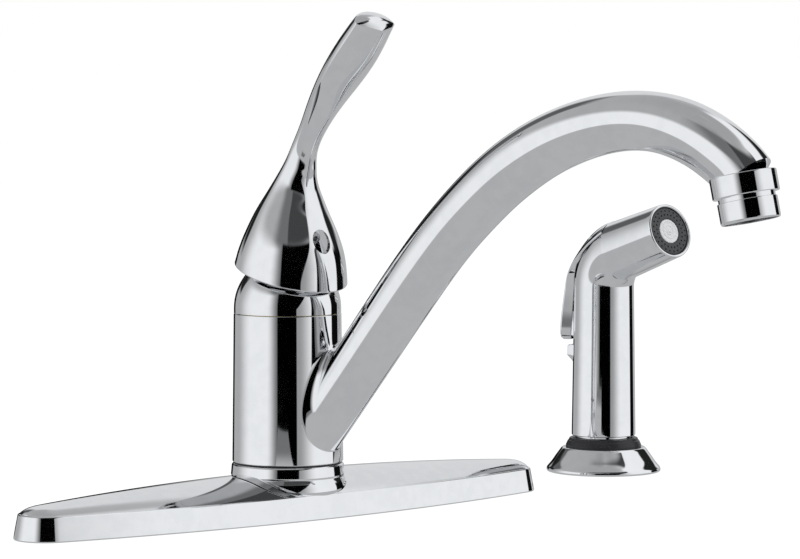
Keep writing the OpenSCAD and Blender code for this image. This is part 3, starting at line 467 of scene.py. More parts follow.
def lightStudio():
    world = bpy.data.worlds.new("studio")
    world.use_nodes = True
    bpy.context.scene.world = world
    world.node_tree.nodes.clear()
    graph = Graph(world.node_tree)
    way = graph.node("TexCoord", {}, {}, "Generated")

    def along(axis):
        return graph.node("VectorMath", {"operation": "DOT_PRODUCT"}, {0: way, 1: axis}, "Value")

    level = Vector((camera["back"][0], camera["back"][1], 0)).normalized()
    aside, ahead, height = along(camera["right"]), along(tuple(level)), along((0, 0, 1))
    perRadian = 180 / pi
    turn = aside.calc("ARCTAN2", aside, ahead) * perRadian
    rise = height.calc("ARCSINE", height) * perRadian
    seen = light(studio["ground"])
    climb = rise.calc("MAXIMUM", rise, 0.0)
    for left, right, soft, foot, top, softHeight, tone, *slant in studio["cards"]:
        edge = turn - climb * slant[0] if slant else turn
        mask = turn.past(left, soft) * (1 - edge.past(right, soft))
        if foot > -90 or top < 90:
            mask = mask * rise.between(foot, top, softHeight)
        seen = mask * (light(tone) - seen) + seen
    plain, glossy = rayKinds(graph)
    rest = (1 - plain) * (1 - glossy)
    strength = plain + glossy * seen + rest * studio["ambient"]
    background = graph.node("Background", {},
                            {"Color": mixed(graph, glossy, (1, 1, 1), studio["tint"]), "Strength": strength})
    graph.node("OutputWorld", {}, {"Surface": background})


# Soft lamps light the plastics; the metal shows the studio and not the lamps
lamps = {
    "key": {"place": (-0.9, -1.0, 1.5), "size": 1.0, "power": 16},
    "fill": {"place": (1.3, -0.6, 1.0), "size": 1.2, "power": 9},
}
lampAim = (0.08, -0.05, 0.08)


def hangLamps():
    for name, lamp in lamps.items():
        data = bpy.data.lights.new(name + "Lamp", "AREA")
        data.size = lamp["size"]
        data.energy = lamp["power"]
        hung = addObject(name + "Lamp", data)
        hung.location = lamp["place"]
        aim = Vector(lampAim) - Vector(lamp["place"])
        hung.rotation_euler = aim.to_track_quat("-Z", "Y").to_euler()
        hung.visible_glossy = False


# The table is pale, and white to the camera apart from the shadow that falls on it. The metal sees the part
# within the corners as a painted glow: fixed greys, with painted shade that darkens away from the faucet.
# Past them the surface goes on for the camera alone, so that the metal sees the studio there.
floor = {
    "reach": 14.0, "middle": 0.05, "level": -0.0002,
    "colour": (0.80, 0.805, 0.81), "weave": (0.77, 0.775, 0.78),
    "white": 0.86, "glow": 1.1, "near": 173, "far": 110, "fade": (0.295, 0.09),
    "corners": [(-0.14, 0.03), (-0.2, -0.1), (-0.41, -0.25), (-0.28, -0.36),
                (0.02, -0.12), (0.3, -0.08), (0.3, 0.08)],
}


def floorMaterial():
    material, graph, where = newMaterial("paleTable")
    weave = noise(graph, where, 40, 4)
    pale = graph.node("BsdfPrincipled", {}, {
        "Base Color": mixed(graph, weave * 0.3, floor["colour"], floor["weave"]),
        "Roughness": 0.9,
        "Specular IOR Level": 0.0,
    })
    plain, glossy = rayKinds(graph)
    away = graph.node("VectorMath", {"operation": "LENGTH"}, {0: where}, "Value")
    # Painted light: mirrored rays see the table as an emission of fixed greys, lighter near the faucet and
    # darker away from it, in place of the table's own shading
    near, far = (light(floor[end]) / floor["glow"] for end in ("near", "far"))
    greys = [tuple(grey * part for part in studio["tint"]) for grey in (near, far)]
    paintedTableGlow = mixed(graph, away.past(*floor["fade"]), *greys)
    colour = mixed(graph, glossy, (1, 1, 1), paintedTableGlow)
    glow = graph.node("Emission", {}, {"Color": colour, "Strength": floor["glow"]})
    share = plain * floor["white"] + glossy
    return endMaterial(material, graph, graph.node("MixShader", {}, {0: share, 1: pale, 2: glow}))


def layFloor():
    z, middle, count = floor["level"], floor["middle"], len(floor["corners"])
    inner = [(x, y, z) for x, y in floor["corners"]]
    outer = []
    for x, y, _ in inner:
        share = floor["reach"] / hypot(x - middle, y)
        outer.append(((x - middle) * share, y * share, z))
    material = floorMaterial()
    for name, points, faces in (
        ("table", inner, [tuple(range(count))]),
        ("tableBeyond", inner + outer,
         [(i, (i + 1) % count, count + (i + 1) % count, count + i) for i in range(count)]),
    ):
        data = bpy.data.meshes.new(name)
        data.from_pydata(points, [], faces)
        data.materials.append(material)
        sheet = addObject(name, data)
        if name == "tableBeyond":
            sheet.visible_glossy = False


placeCamera()
lightStudio()
hangLamps()
layFloor()
scene = bpy.context.scene
scene.view_settings.view_transform = "Standard"
print("camera, studio and table made")


# Deck plate

plate = {"length": 266, "width": 53, "tip": 13.5, "skirt": 10, "draft": 1.8, "crown": 7.8, "wall": 2.4,
         "edge": 0.7, "bore": 20.35, "sideSteps": 110, "tipSteps": 26, "crownSteps": 22, "edgeSteps": 5,
         "skirtRings": (8.4, 6, 3, 0.5), "underShares": (1, 0.97, 0.9, 0.75, 0.5, 0.25, 0),
         "footRound": 0.35, "bossRadius": 8, "bossFoot": 2.3, "bossTop": 12.4, "bossHoleTop": 9.5,
         "studSpacing": 203.2, "studHole": 4.8}
collar = {"radius": 23.5, "flare": 1.3, "root": 6.4, "foot": 9, "top": 21.2, "edge": 0.6}
tipCentre = plate["length"] / 2 - plate["tip"]
sideArc = ((tipCentre ** 2 + (plate["width"] / 2) ** 2 - plate["tip"] ** 2)
           / (plate["width"] - 2 * plate["tip"]))


def plateOutline(inset):
    p = plate
    half, arc = tipCentre, sideArc
    swing = atan(half / (arc - p["width"] / 2))
    points = []
    for side in (1, -1):
        for i in range(p["sideSteps"]):
            t = swing * (2 * i / p["sideSteps"] - 1)
            points.append((side * (arc - inset) * sin(t),
                           side * (arc - p["width"] / 2 - (arc - inset) * cos(t))))
        for i in range(p["tipSteps"]):
            t = (pi / 2 - swing) * (2 * i / p["tipSteps"] - 1)
            points.append((side * (half + (p["tip"] - inset) * cos(t)),
                           side * (p["tip"] - inset) * sin(t)))
    return np.array(points)


def halfWidth(x, inset):
    half, arc = tipCentre, sideArc
    x = abs(x)
    if x < half * (arc - inset) / (arc - plate["tip"]):
        return sqrt((arc - inset) ** 2 - x * x) - arc + plate["width"] / 2
    return sqrt(max(1e-4, (plate["tip"] - inset) ** 2 - (x - half) ** 2))


def crownRise(x, y, inset):
    width = halfWidth(x, inset)
    return plate["crown"] * width / halfWidth(0, inset) * max(0, 1 - (y / width) ** 2)


# Rings from the bore's circle out to the edge, each at the crown's height
def crownRings(inset, level, shares):
    edge = plateOutline(inset)
    angle = np.arctan2(edge[:, 1], edge[:, 0])
    bore = plate["bore"] * np.column_stack([np.cos(angle), np.sin(angle)])
    rings = []
    for share in shares:
        flat = bore + (edge - bore) * share
        rings.append([(x, y, level + crownRise(x, y, inset)) for x, y in flat])
    return rings


def buildPlate():
    p = plate
    top = p["draft"] + p["edge"]
    skirtTop = p["skirt"] - p["edge"]
    shares = [sin(turn) for turn in evenly(pi / 2, p["crownSteps"])]
    rings = crownRings(top, p["skirt"], shares)
    for turn in evenly(pi / 2, p["edgeSteps"])[1:]:
        inset = p["draft"] + p["edge"] * (1 - sin(turn))
        rings.append([(x, y, skirtTop + p["edge"] * cos(turn)) for x, y in plateOutline(inset)])
    for height in p["skirtRings"]:
        inset = p["draft"] * height / skirtTop
        rings.append([(x, y, height) for x, y in plateOutline(inset)])
    rings.append([(x, y, 0) for x, y in plateOutline(p["footRound"])])
    rings.append([(x, y, 0) for x, y in plateOutline(p["wall"])])
    under = crownRings(p["draft"] + p["wall"], p["skirt"] - p["wall"], p["underShares"])
    shells = [loft(rings + under, closed=True)]
    c = collar
    shells.append(lathe(soften([
        (p["bore"], c["root"]), (c["radius"] - 1.8, c["root"]),
        (c["radius"] + c["flare"] - 0.3, c["foot"], 0.4),
        (c["radius"] + c["flare"], c["foot"] + 2, 0.8), (c["radius"] + c["flare"] * 0.8, c["foot"] + 4, 0.9),
        (c["radius"] + c["flare"] * 0.35, c["foot"] + 5.8, 0.9), (c["radius"] - 0.25, c["foot"] + 7, 0.3),
        (c["radius"] + 0.05, c["foot"] + 7.6, 0.25), (c["radius"] - 0.35, c["top"] - c["edge"], 0.3),
        (c["radius"] - c["edge"] - 0.3, c["top"], 0.3), (p["bore"], c["top"]),
    ]), 200))
    for side in (-1, 1):
        place = frameAt((side * p["studSpacing"] / 2, 0, 0), (1, 0, 0), (0, 1, 0), (0, 0, 1))
        shells.append(lathe(soften([
            (nearAxis, p["bossHoleTop"]), (p["studHole"], p["bossHoleTop"]), (p["studHole"], p["bossFoot"]),
            (p["bossRadius"], p["bossFoot"], 0.6), (p["bossRadius"], p["bossTop"]), (nearAxis, p["bossTop"]),
        ]), 48, place))
    piece = newMesh("plateShell", shells)
    finishPiece(piece, chrome, "base", ["deck_plate"])


buildPlate()
print("deck plate made")


# Spout: hub sleeve, arched tube with its fillet at the root, and outlet collar

spout = {"turn": 16, "reach": 211, "foot": 17.4, "arch": 163.4, "tube": 11.84, "wall": 2,
         "hubFoot": 21.9, "hubTop": 82.9, "hubLow": 22.9, "hubHigh": 22.2, "hubBore": 20.3,
         "fillet": 4.9, "filletMean": 0.55, "filletSwing": 0.5, "filletSteps": 14, "rootSink": 0.25,
         "rootInside": 21.2, "root": (0.057, 0.106, 1.0), "straightEnd": 0.184,
         "outletRadius": 12.85, "outletBore": 10.95, "outletLength": 8.3, "outletTilt": 12,
         "outletShare": 0.866, "sides": 144, "samples": 230}
# Stations along the tube: share of the reach, share of the rise, share of the tube's radius
tubeStations = [
    (0.184, 0.340, 1.0), (0.303, 0.561, 1.01), (0.376, 0.685, 1.01), (0.428, 0.760, 1.02),
    (0.481, 0.827, 1.025), (0.538, 0.886, 1.025), (0.598, 0.934, 1.01), (0.645, 0.962, 1.0),
    (0.696, 0.984, 0.985), (0.762, 0.999, 0.97), (0.826, 0.996, 0.972), (0.884, 0.975, 0.995),
    (0.937, 0.938, 1.0), (0.972, 0.903, 0.995), (1.0, 0.866, 0.98), (1.006, 0.856, 0.978),
]
heading = radians(spout["turn"] - 90)
outDirection = np.array([cos(heading), sin(heading), 0])
sideDirection = np.array([-sin(heading), cos(heading), 0])
spoutPlane = frameAt((0, 0, 0), outDirection, sideDirection, (0, 0, 1))


def outletFrame():
    tilt = radians(180 - spout["outletTilt"])
    height = spout["foot"] + spout["outletShare"] * (spout["arch"] - spout["foot"])
    xAxis = outDirection * cos(tilt) + np.array([0, 0, -sin(tilt)])
    zAxis = outDirection * sin(tilt) + np.array([0, 0, cos(tilt)])
    return frameAt(outDirection * spout["reach"] + np.array([0, 0, height]), xAxis, sideDirection, zAxis)


atOutlet = outletFrame()


def tubePath():
    rise = spout["arch"] - spout["foot"]
    stations = [spout["root"]] + tubeStations
    return spline([(s[0] * spout["reach"], spout["foot"] + s[1] * rise, s[2] * spout["tube"])
                   for s in stations], spout["samples"])


# Rings across the tube's own path; inset makes the bore
def tubeRings(path, inset):
    turns = np.linspace(0, 2 * pi, spout["sides"], endpoint=False)
    rings = []
    for i, (x, z, radius) in enumerate(path):
        ahead = path[min(i + 1, len(path) - 1)] - path[max(i - 1, 0)]
        ahead = ahead[:2] / np.linalg.norm(ahead[:2])
        r = radius - inset
        rings.append(np.column_stack([x - ahead[1] * r * np.cos(turns), r * np.sin(turns),
                                      z + ahead[0] * r * np.cos(turns)]))
    return rings


# Rings where the tube meets the hub: rho is their distance from the valve's axis, which is inside where
# that is given, and otherwise follows the hub's wall and the fillet
def rootRing(rise, turn, inside, inset):
    w = spout
    ring = []
    for t in np.linspace(0, 2 * pi, w["sides"], endpoint=False):
        fillet = w["fillet"] * (w["filletMean"] + w["filletSwing"] * cos(t))
        if inside:
            rho = inside
        else:
            rho = w["hubLow"] - w["rootSink"] + fillet * (1 - cos(turn))
        radius = w["tube"] - inset + (0 if inset else fillet * (1 - sin(turn)))
        for _ in range(2):
            x = sqrt(rho ** 2 - (radius * sin(t)) ** 2)
            s = (x + radius * cos(t) * sin(rise)) / cos(rise)
            z = w["foot"] + s * sin(rise) + radius * cos(t) * cos(rise)
            if inside:
                break
            share = (z - w["hubFoot"]) / (w["hubTop"] - w["hubFoot"])
            hub = w["hubLow"] + (w["hubHigh"] - w["hubLow"]) * share
            rho = hub + fillet * (1 - cos(turn))
        ring.append((x, radius * sin(t), z))
    return np.array(ring)


def buildSpout():
    w = spout
    path = tubePath()
    rise = atan2(path[20][1] - path[0][1], path[20][0] - path[0][0])
    straight = next(i for i, p in enumerate(path) if p[0] > w["straightEnd"] * w["reach"])
    inside = w["rootInside"]
    rings = [rootRing(rise, 0, inside, 0)]
    rings += [rootRing(rise, turn, 0, 0) for turn in evenly(pi / 2, w["filletSteps"])]
    rings += tubeRings(path[straight:], 0)
    bore = tubeRings(path[straight:], w["wall"])[::-1] + [rootRing(rise, 0, inside, w["wall"])]
    shells = [loft([spoutPlane(r) for r in rings + bore], closed=True)]
    shells.append(lathe(soften([
        (w["hubBore"], w["hubFoot"]), (w["hubLow"], w["hubFoot"], 0.35),
        (w["hubHigh"], w["hubTop"], 0.35), (w["hubBore"], w["hubTop"]),
    ]), 256))
    shells.append(lathe(soften([
        (w["outletBore"], 1), (w["outletRadius"] - 1, 0), (w["outletRadius"], 0, 0.5),
        (w["outletRadius"], w["outletLength"], 0.45), (w["outletBore"], w["outletLength"]),
    ]), 160, atOutlet))
    piece = newMesh("spoutCasting", shells, 40)
    finishPiece(piece, chrome, "spout", ["spout"])


aerator = {"radius": 11.5, "length": 8.3, "groove": 1.7, "thread": 10.9, "threadStart": 3,
           "bore": 9.2, "lip": 0.95}


def buildAerator():
    a = aerator
    start = spout["outletLength"]
    foot = start + a["groove"]
    end = foot + a["length"]
    outline = soften([
        (a["bore"], a["threadStart"]), (a["thread"], a["threadStart"], 0.4), (a["thread"], foot),
        (a["radius"], foot, 0.35), (a["radius"], end - 0.8, 0.4), (a["radius"] - 0.35, end, 0.35),
        (a["radius"] - a["lip"], end, 0.2), (a["radius"] - a["lip"], end - 4), (a["bore"], end - 5),
    ])
    piece = newMesh("aeratorShell", [lathe(outline, 160, atOutlet)])
    finishPiece(piece, chrome, "spout", ["aerator_housing"])


buildSpout()
buildAerator()
print("spout made")


# Handle: one skin from the cowl's rim to the lever's tip. Each station has the centre's y and height above
# the pivot, the lean, half width, front and back depth, and how far its front is a ridge. The cowl's last
# three numbers are shares of the rim, and the blade's last two are shares of its width and of its depths.

handle = {"pivot": 85, "rim": 23.2, "wall": 1.5, "rimWall": 0.9, "rimLift": 0.5, "rimSteps": 8,
          "bladeWidth": 23, "bladeFront": 5.7, "bladeBack": 8.5, "crease": (0.84, 1.17, 0.16, 6),
          "tipGrow": 0.985, "tipLift": 0.3, "dome": 2.6, "domePower": 2.2, "domeSteps": 9,
          "hollowTop": 34, "hollowCap": ((0.35, 2.2), (0.8, 1.6)), "samples": 250, "sides": 160,
          "lean": 15, "screwHeight": 33, "screwSink": 4.3, "screwSinkStart": -9, "screwRadius": 2.55,
          "screwDepth": 8, "cutReach": 30}
cowlStations = [
    (-2.1, 14.9, 16.8, 1.003, 1.058, 1.01), (-2.3, 19, 13, 0.979, 1.026, 0.951),
    (-2.3, 22, 7, 0.953, 0.987, 0.927), (-2.5, 27.5, 3, 0.883, 0.9, 0.866),
    (-2.7, 33, 1, 0.788, 0.79, 0.786), (-3.2, 40.2, 4, 0.643, 0.66, 0.622),
    (-4.3, 46.6, 9, 0.508, 0.543, 0.452),
]
neckStations = [
    (-6.4, 54.4, 18, 8.3, 9, 6.9, 0), (-8.6, 60, 25, 6.5, 7.6, 5.5, 0),
    (-11.2, 65.5, 32, 5.6, 6.1, 5.1, 0.15), (-16.5, 73, 35, 5.9, 5, 5.3, 0.45),
    (-22.4, 80, 38, 7.3, 5.2, 6.3, 0.8),
]
bladeStations = [
    (-34.9, 92.8, 43, 0.916, 0.94), (-45.6, 103.6, 45, 0.978, 1),
    (-52.4, 110.95, 45, 0.91, 0.94), (-56.7, 115.8, 45, 0.857, 0.83),
]


def handlePath():
    h = handle
    stations = [(y, z, lean, h["rim"] * side, h["rim"] * front, h["rim"] * back, 0)
                for y, z, lean, side, front, back in cowlStations]
    stations += neckStations
    for y, z, lean, share, depth in bladeStations:
        side, front, back = h["bladeWidth"] / 2 * share, h["bladeFront"] * depth, h["bladeBack"] * depth
        stations.append((y, z, lean, side, front, back, 1))
    return spline(stations, h["samples"])


# One ring of the skin: grow scales it about its centre, lift moves it along the lever, cut takes it inwards
def handleRing(station, grow=1.0, lift=0.0, cut=0.0):
    y, z, lean, side, front, back, ridge = station
    lean = radians(lean)
    ridge = min(1, max(0, ridge))
    slope, slopePower, shoulder, shoulderPower = handle["crease"]
    ring = []
    for t in np.linspace(0, -2 * pi, handle["sides"], endpoint=False):
        u = cos(t)
        if sin(t) > 0:
            depth = (back - cut) * sin(t)
        else:
            round_ = sqrt(max(0, 1 - u * u))
            crease = 1 - slope * abs(u) ** slopePower - shoulder * abs(u) ** shoulderPower
            depth = -(front - cut) * ((1 - ridge) * round_ + ridge * crease)
        ring.append(((side - cut) * u * grow,
                     y + depth * grow * cos(lean) - lift * sin(lean),
                     handle["pivot"] + z + depth * grow * sin(lean) + lift * cos(lean)))
    return ring


# The stem leans about the pivot; this frame follows it, with z along the stem
def stemFrame():
    lean = radians(handle["lean"])
    return frameAt((0, 0, handle["pivot"]), (1, 0, 0), (0, cos(lean), sin(lean)),
                   (0, -sin(lean), cos(lean)))


atStem = stemFrame()


def buildHandle():
    h = handle
    path = handlePath()
    foot, tip = path[0], path[-1]
    hollow = [s for s in path if s[1] < h["hollowTop"]]
    rings = [handleRing(hollow[-1], grow=grow, lift=lift, cut=h["wall"]) for grow, lift in h["hollowCap"]]
    rings += [handleRing(s, cut=h["wall"]) for s in hollow[::-1][::4]]
    for turn in evenly(pi, h["rimSteps"]):
        cut = h["rimWall"] / 2 * (1 + cos(turn))
        rings.append(handleRing(foot, lift=-h["rimLift"] * sin(turn), cut=cut))
    rings += [handleRing(s) for s in path[1:]]
    rings.append(handleRing(tip, grow=h["tipGrow"], lift=h["tipLift"]))
    for k in range(1, h["domeSteps"]):
        grow = h["tipGrow"] * (1 - k / h["domeSteps"])
        lift = h["tipLift"] + h["dome"] * (1 - grow ** h["domePower"])
        rings.append(handleRing(tip, grow=grow, lift=lift))
    piece = newMesh("leverHandle", [loft(rings)], 38)
    pivot, upward, forward, start = atStem([
        [0, 0, 0], [0, 0, 1], [0, -1, 0], [0, h["screwSinkStart"], h["screwHeight"]],
    ])
    facing = frameAt(start, (1, 0, 0), upward - pivot, forward - pivot)
    carve(piece, [plug(h["screwSink"], 0, h["cutReach"], 72, facing)], 38)
    carve(piece, [plug(h["screwRadius"], -h["screwDepth"], h["cutReach"], 48, facing)], 38)
    finishPiece(piece, chrome, "handle", ["handle"])


bonnet = {"radius": 22.1, "wall": 1.5, "opening": 10.5, "foot": 83.15, "bore": 20.1, "shoulder": 3,
          "outerSteps": 40, "innerSteps": 24}


def buildBonnet():
    b, pivot = bonnet, handle["pivot"]
    top = acos(b["opening"] / b["radius"])
    outer = [(b["radius"] * cos(a), pivot + b["radius"] * sin(a)) for a in evenly(top, b["outerSteps"])]
    inner = b["radius"] - b["wall"]
    innerTop = acos(b["opening"] / inner)
    start = asin(b["shoulder"] / inner)
    fall = [innerTop + a for a in evenly(start - innerTop, b["innerSteps"])]
    under = [(inner * cos(a), pivot + inner * sin(a)) for a in fall]
    outline = [(b["radius"], b["foot"])] + outer + under
    outline += [(b["bore"], pivot + b["shoulder"]), (b["bore"], b["foot"])]
    piece = newMesh("bonnetDome", [lathe(outline, 200)])
    finishPiece(piece, chrome, "base", ["bonnet_cap"])


buildHandle()
buildBonnet()
print("handle and bonnet made")


# Sprayer: flange and guide on the deck, shell with its bent head, lever, nozzle

sprayer = {"x": 203.2, "y": 25, "flange": 26.1, "flangeHeight": 11, "guide": 17.2, "guideTop": 15.3,
           "shank": 14.6, "guideReach": 40, "guideBore": 13, "shankBore": 11.4, "shellFoot": 16.4,
           "low": 14.6, "high": 13.6,
           "head": 12.4, "bendStart": 84.3, "bend": 18, "headTurn": 72, "headLength": 31.9, "seat": 3.5,
           "seatWall": 1.4, "handleBore": 11.2, "headBore": 7, "spigot": 12.6, "spigotFoot": 5.3,
           "pocketDepth": 1.6, "pocketHalf": 63, "pocketStart": 9, "recessFoot": 57.6, "recessHalf": 50,
           "knuckleTop": 57.5, "knuckleLength": 8.5, "knuckleRise": 3.1, "knuckleHalf": 38,
           "knuckleSoft": 0.12, "swellPeak": 1.5, "swellSpan": 1.25, "swellPower": 1.4,
           "swellClose": (0.9, 0.13), "footRound": 0.5, "lipRound": 0.7, "step": 0.03}
atSprayer = frameAt((sprayer["x"], sprayer["y"], 0), (1, 0, 0), (0, 1, 0), (0, 0, 1))


def headFrame():
    turn = radians(sprayer["headTurn"])
    origin = (sprayer["x"], sprayer["y"] - sprayer["bend"] * (1 - cos(turn)),
              sprayer["bendStart"] + sprayer["bend"] * sin(turn))
    return frameAt(origin, (1, 0, 0), (0, cos(turn), sin(turn)),
                   (0, -sin(turn), cos(turn)))


atHead = headFrame()
bendArc = radians(sprayer["headTurn"]) * sprayer["bend"]


def buildFlange():
    s = sprayer
    outline = soften([
        (s["shank"] + 0.2, 0), (s["flange"] - 0.4, 0, 0.2), (s["flange"], 0.6, 0.3),
        (s["flange"] - 0.2, 1.8, 0.8), (s["flange"] - 2.2, 4, 1.6), (s["flange"] - 4.2, 7, 2),
        (s["guide"] + 2.2, s["flangeHeight"] - 0.6, 0.7), (s["guide"] + 1.6, s["flangeHeight"], 0.4),
        (s["shank"] + 0.2, s["flangeHeight"]),
    ], steps=8)
    piece = newMesh("flangeRing", [lathe(outline, 200, atSprayer)])
    finishPiece(piece, chrome, "base", ["spray_flange"])


def buildGuide():
    s = sprayer
    outline = soften([
        (s["guideBore"], s["flangeHeight"] - 6, 0.4), (s["guideBore"], s["guideTop"], 0.3),
        (s["guide"] - 1.7, s["guideTop"], 0.4), (s["guide"] - 1.3, s["flangeHeight"] + 3.2, 0.2),
        (s["guide"] - 0.9, s["flangeHeight"] + 3, 0.25), (s["guide"], s["flangeHeight"] + 1, 0.3),
        (s["guide"], s["flangeHeight"]), (s["shank"], s["flangeHeight"]), (s["shank"], 0.2),
        (s["shank"] - 1.1, -0.6), (s["shankBore"], -0.6), (s["shankBore"], s["flangeHeight"] - 8),
    ])
    shank = threaded({"foot": -s["guideReach"], "top": -0.4, "pitch": 2.6, "depth": 1.1,
                      "radius": s["shank"], "bore": s["shankBore"], "sides": 84}, (s["x"], s["y"]))
    piece = newMesh("guideBush", [lathe(outline, 160, atSprayer), shank])
    finishPiece(piece, blackPlastic, "base", ["spray_guide"])


# One ring of the shell: along is the distance up the straight part, then round the bend and out the head.
# Within pocketHalf degrees of the back it lies at the pocket's depth, and bump is how far the knuckle rises.
def shellRing(along, radius, pocketHalf=0, bump=0.0):
    s = sprayer
    above = along - s["bendStart"]
    turn = min(max(0, above), bendArc) / s["bend"]
    past = min(0, above) + max(0, above - bendArc)
    out = np.array([cos(turn), sin(turn)])
    centre = np.array([-s["bend"] * (1 - cos(turn)), s["bendStart"] + s["bend"] * sin(turn)])
    centre += past * np.array([-sin(turn), cos(turn)])
    ring = []
    for t in shellAngles:
        r = radius
        if abs(t) < radians(pocketHalf):
            r = s["high"] - s["pocketDepth"]
        if bump:
            edge = radians(s["knuckleHalf"]) - abs(t)
            r += bump * min(1, max(0, edge / s["knuckleSoft"] + 0.5))
        ring.append((s["x"] + r * sin(t), s["y"] + centre[0] + r * cos(t) * out[0],
                     centre[1] + r * cos(t) * out[1]))
    return ring


# Angles of a ring's points, with close pairs where the walls of the pocket and of the recess stand
def pocketAngles():
    edge, inner = radians(sprayer["pocketHalf"]), radians(sprayer["recessHalf"])
    narrow = 0.004
    inside = list(np.linspace(-inner + narrow, inner - narrow, 60))
    between = list(np.linspace(inner + narrow, edge - narrow, 18))
    outside = list(np.linspace(edge + narrow, 2 * pi - edge - narrow, 110))
    return ([-t for t in between[::-1]] + inside + between
            + [t if t <= pi else t - 2 * pi for t in outside])


shellAngles = pocketAngles()


def shellRadius(along):
    s = sprayer
    if along <= s["bendStart"]:
        share = (along - s["shellFoot"]) / (s["bendStart"] - s["shellFoot"])
        return s["low"] + (s["high"] - s["low"]) * share
    share = max(0, along - s["bendStart"] - bendArc) / s["headLength"]
    return s["high"] + (s["head"] - s["high"]) * share


def knuckleBump(along):
    s = sprayer
    share = (along - s["knuckleTop"] + s["knuckleLength"]) / s["knuckleLength"]
    if share <= 0 or share > 1:
        return 0
    climb = sin(min(1, share * s["swellSpan"]) * pi / 2) ** s["swellPower"]
    start, width = s["swellClose"]
    close = 1 if share < start else sqrt(max(0, 1 - ((share - start) / width) ** 2))
    return s["knuckleRise"] * min(1, s["swellPeak"] * climb) * close


def buildShell():
    s = sprayer
    end = s["bendStart"] + bendArc + s["headLength"]
    pocketFrom = s["bendStart"] + radians(s["pocketStart"]) * s["bend"]
    pocketTo = s["bendStart"] + bendArc
    rings = [shellRing(s["spigotFoot"], s["spigot"]), shellRing(s["shellFoot"], s["spigot"])]
    for turn in evenly(pi / 2, 4)[:-1]:
        rings.append(shellRing(s["shellFoot"] + s["footRound"] * (1 - cos(turn)),
                               s["low"] - s["footRound"] + s["footRound"] * sin(turn)))
    stops = list(np.arange(18, 48, 4)) + list(np.linspace(48.6, s["recessFoot"], 37))
    for along in stops:
        rings.append(shellRing(along, shellRadius(along), bump=knuckleBump(along)))
    for along in np.linspace(s["recessFoot"] + s["step"], pocketFrom, 12):
        rings.append(shellRing(along, shellRadius(along), s["recessHalf"]))
    for along in np.linspace(pocketFrom + s["step"], pocketTo, 44):
        rings.append(shellRing(along, s["high"], s["pocketHalf"]))
    rings.append(shellRing(pocketTo + s["step"], s["high"]))
    rings += [shellRing(a, shellRadius(a)) for a in np.linspace(pocketTo + 1, end - 0.9, 14)]
    lipIn = s["head"] - s["seatWall"]
    middle, half = (s["head"] + lipIn) / 2, (s["head"] - lipIn) / 2
    for turn in evenly(pi, 8):
        rings.append(shellRing(end - s["lipRound"] + s["lipRound"] * sin(turn),
                               middle + half * cos(turn)))
    rings.append(shellRing(end - s["seat"], lipIn))
    rings.append(shellRing(end - s["seat"], s["headBore"]))
    rings += [shellRing(a, s["headBore"]) for a in np.linspace(pocketTo, s["bendStart"], 14)]
    rings.append(shellRing(s["bendStart"] - 0.5, s["handleBore"]))
    rings.append(shellRing(s["spigotFoot"], s["handleBore"]))
    piece = newMesh("sprayerShell", [loft(rings, closed=True)], 30)
    finishPiece(piece, chrome, "sprayer", ["spray_body"])


# The flanks stop short of the shell by the lever's travel: flankLift at the bend, and flankRise more at its
# end. Lever stations: turn along the bend, distance below it, how far the outer and the inner face stand off
# the shell, and half of the angle that it wraps
lever = {
    "edge": 0.8, "web": 1.3, "flankLift": 0.16, "flankRise": 1.74, "endRound": 0.6, "endSteps": 6,
    "endGap": 0.7, "fills": (0, 0, 0, 36, 0, 0, 0, 40), "samples": 120,
    "stations": [
        (0, 24.6, 5.7, 4.6, 34), (0, 24, 6.2, 4.9, 35), (0, 22.7, 6.6, 5.1, 36),
        (0, 16.7, 6.6, 4.9, 37), (0, 9, 5.7, 4.0, 38), (0, 0, 4.4, 2.8, 40),
        (12, 0, 3.4, 1.9, 43), (24, 0, 2.1, -0.1, 49), (36, 0, 1.1, -0.6, 55),
        (48, 0, 0.7, -1.0, 58), (60, 0, 0.5, -1.25, 58), (71, 0, 0.3, -1.3, 52),
    ],
}


# The lever's section lies round the shell: a plate with a flank at either side that reaches down to the
# shell. Across is measured along its middle radius, height from it.
def leverRing(turn, below, outer, inner, wrap, inset=0.0):
    s = sprayer
    middle, half = s["high"] + (outer + inner) / 2, (outer - inner) / 2 - inset
    reach = radians(wrap) * middle - inset
    flankLift = lever["flankLift"] + lever["flankRise"] * below / lever["stations"][0][1]
    drop = max(0.02, inner - flankLift) - inset
    corner, web = min(lever["edge"], half * 0.9), lever["web"]
    outline = [(reach, half, corner), (reach, -half - drop, 0.25), (reach - web, -half - drop, 0.25),
               (reach - web, -half, 0.3)]
    outline += [(-across, height, roundness) for across, height, roundness in outline[::-1]]
    ring = []
    a = radians(turn)
    for across, height in soften(outline, fills=lever["fills"]):
        angle, r = across / middle, middle + height
        out = s["bend"] + r * cos(angle)
        ring.append((s["x"] + r * sin(angle),
                     s["y"] + out * cos(a) - s["bend"] + below * sin(a),
                     s["bendStart"] + out * sin(a) - below * cos(a)))
    return ring


# The second column of these stations stays 0, so that the spline is spaced by length alone
def leverPath():
    s = sprayer
    stations = []
    for turn, below, outer, inner, wrap in lever["stations"]:
        length = radians(turn) * (s["bend"] + s["high"]) - below
        stations.append((length, 0, outer, inner, wrap))
    result = []
    for length, _, outer, inner, wrap in spline(stations, lever["samples"]):
        turn = degrees(max(0, length) / (s["bend"] + s["high"]))
        result.append((turn, max(0, -length), outer, inner, wrap))
    return result


def buildLever():
    path = leverPath()
    rings = []
    first = path[0]
    for turn in evenly(pi / 2, lever["endSteps"])[:-1]:
        shrink = lever["endRound"] * (1 - sin(turn))
        below = first[1] - lever["endRound"] * (1 - cos(turn))
        rings.append(leverRing(first[0], below, *first[2:], inset=shrink))
    rings += [leverRing(*s) for s in path if s[0] > 0 or s[1] < first[1] - lever["endGap"]]
    piece = newMesh("sprayLever", [loft(rings)], 36)
    finishPiece(piece, chrome, "trigger", ["trigger"])


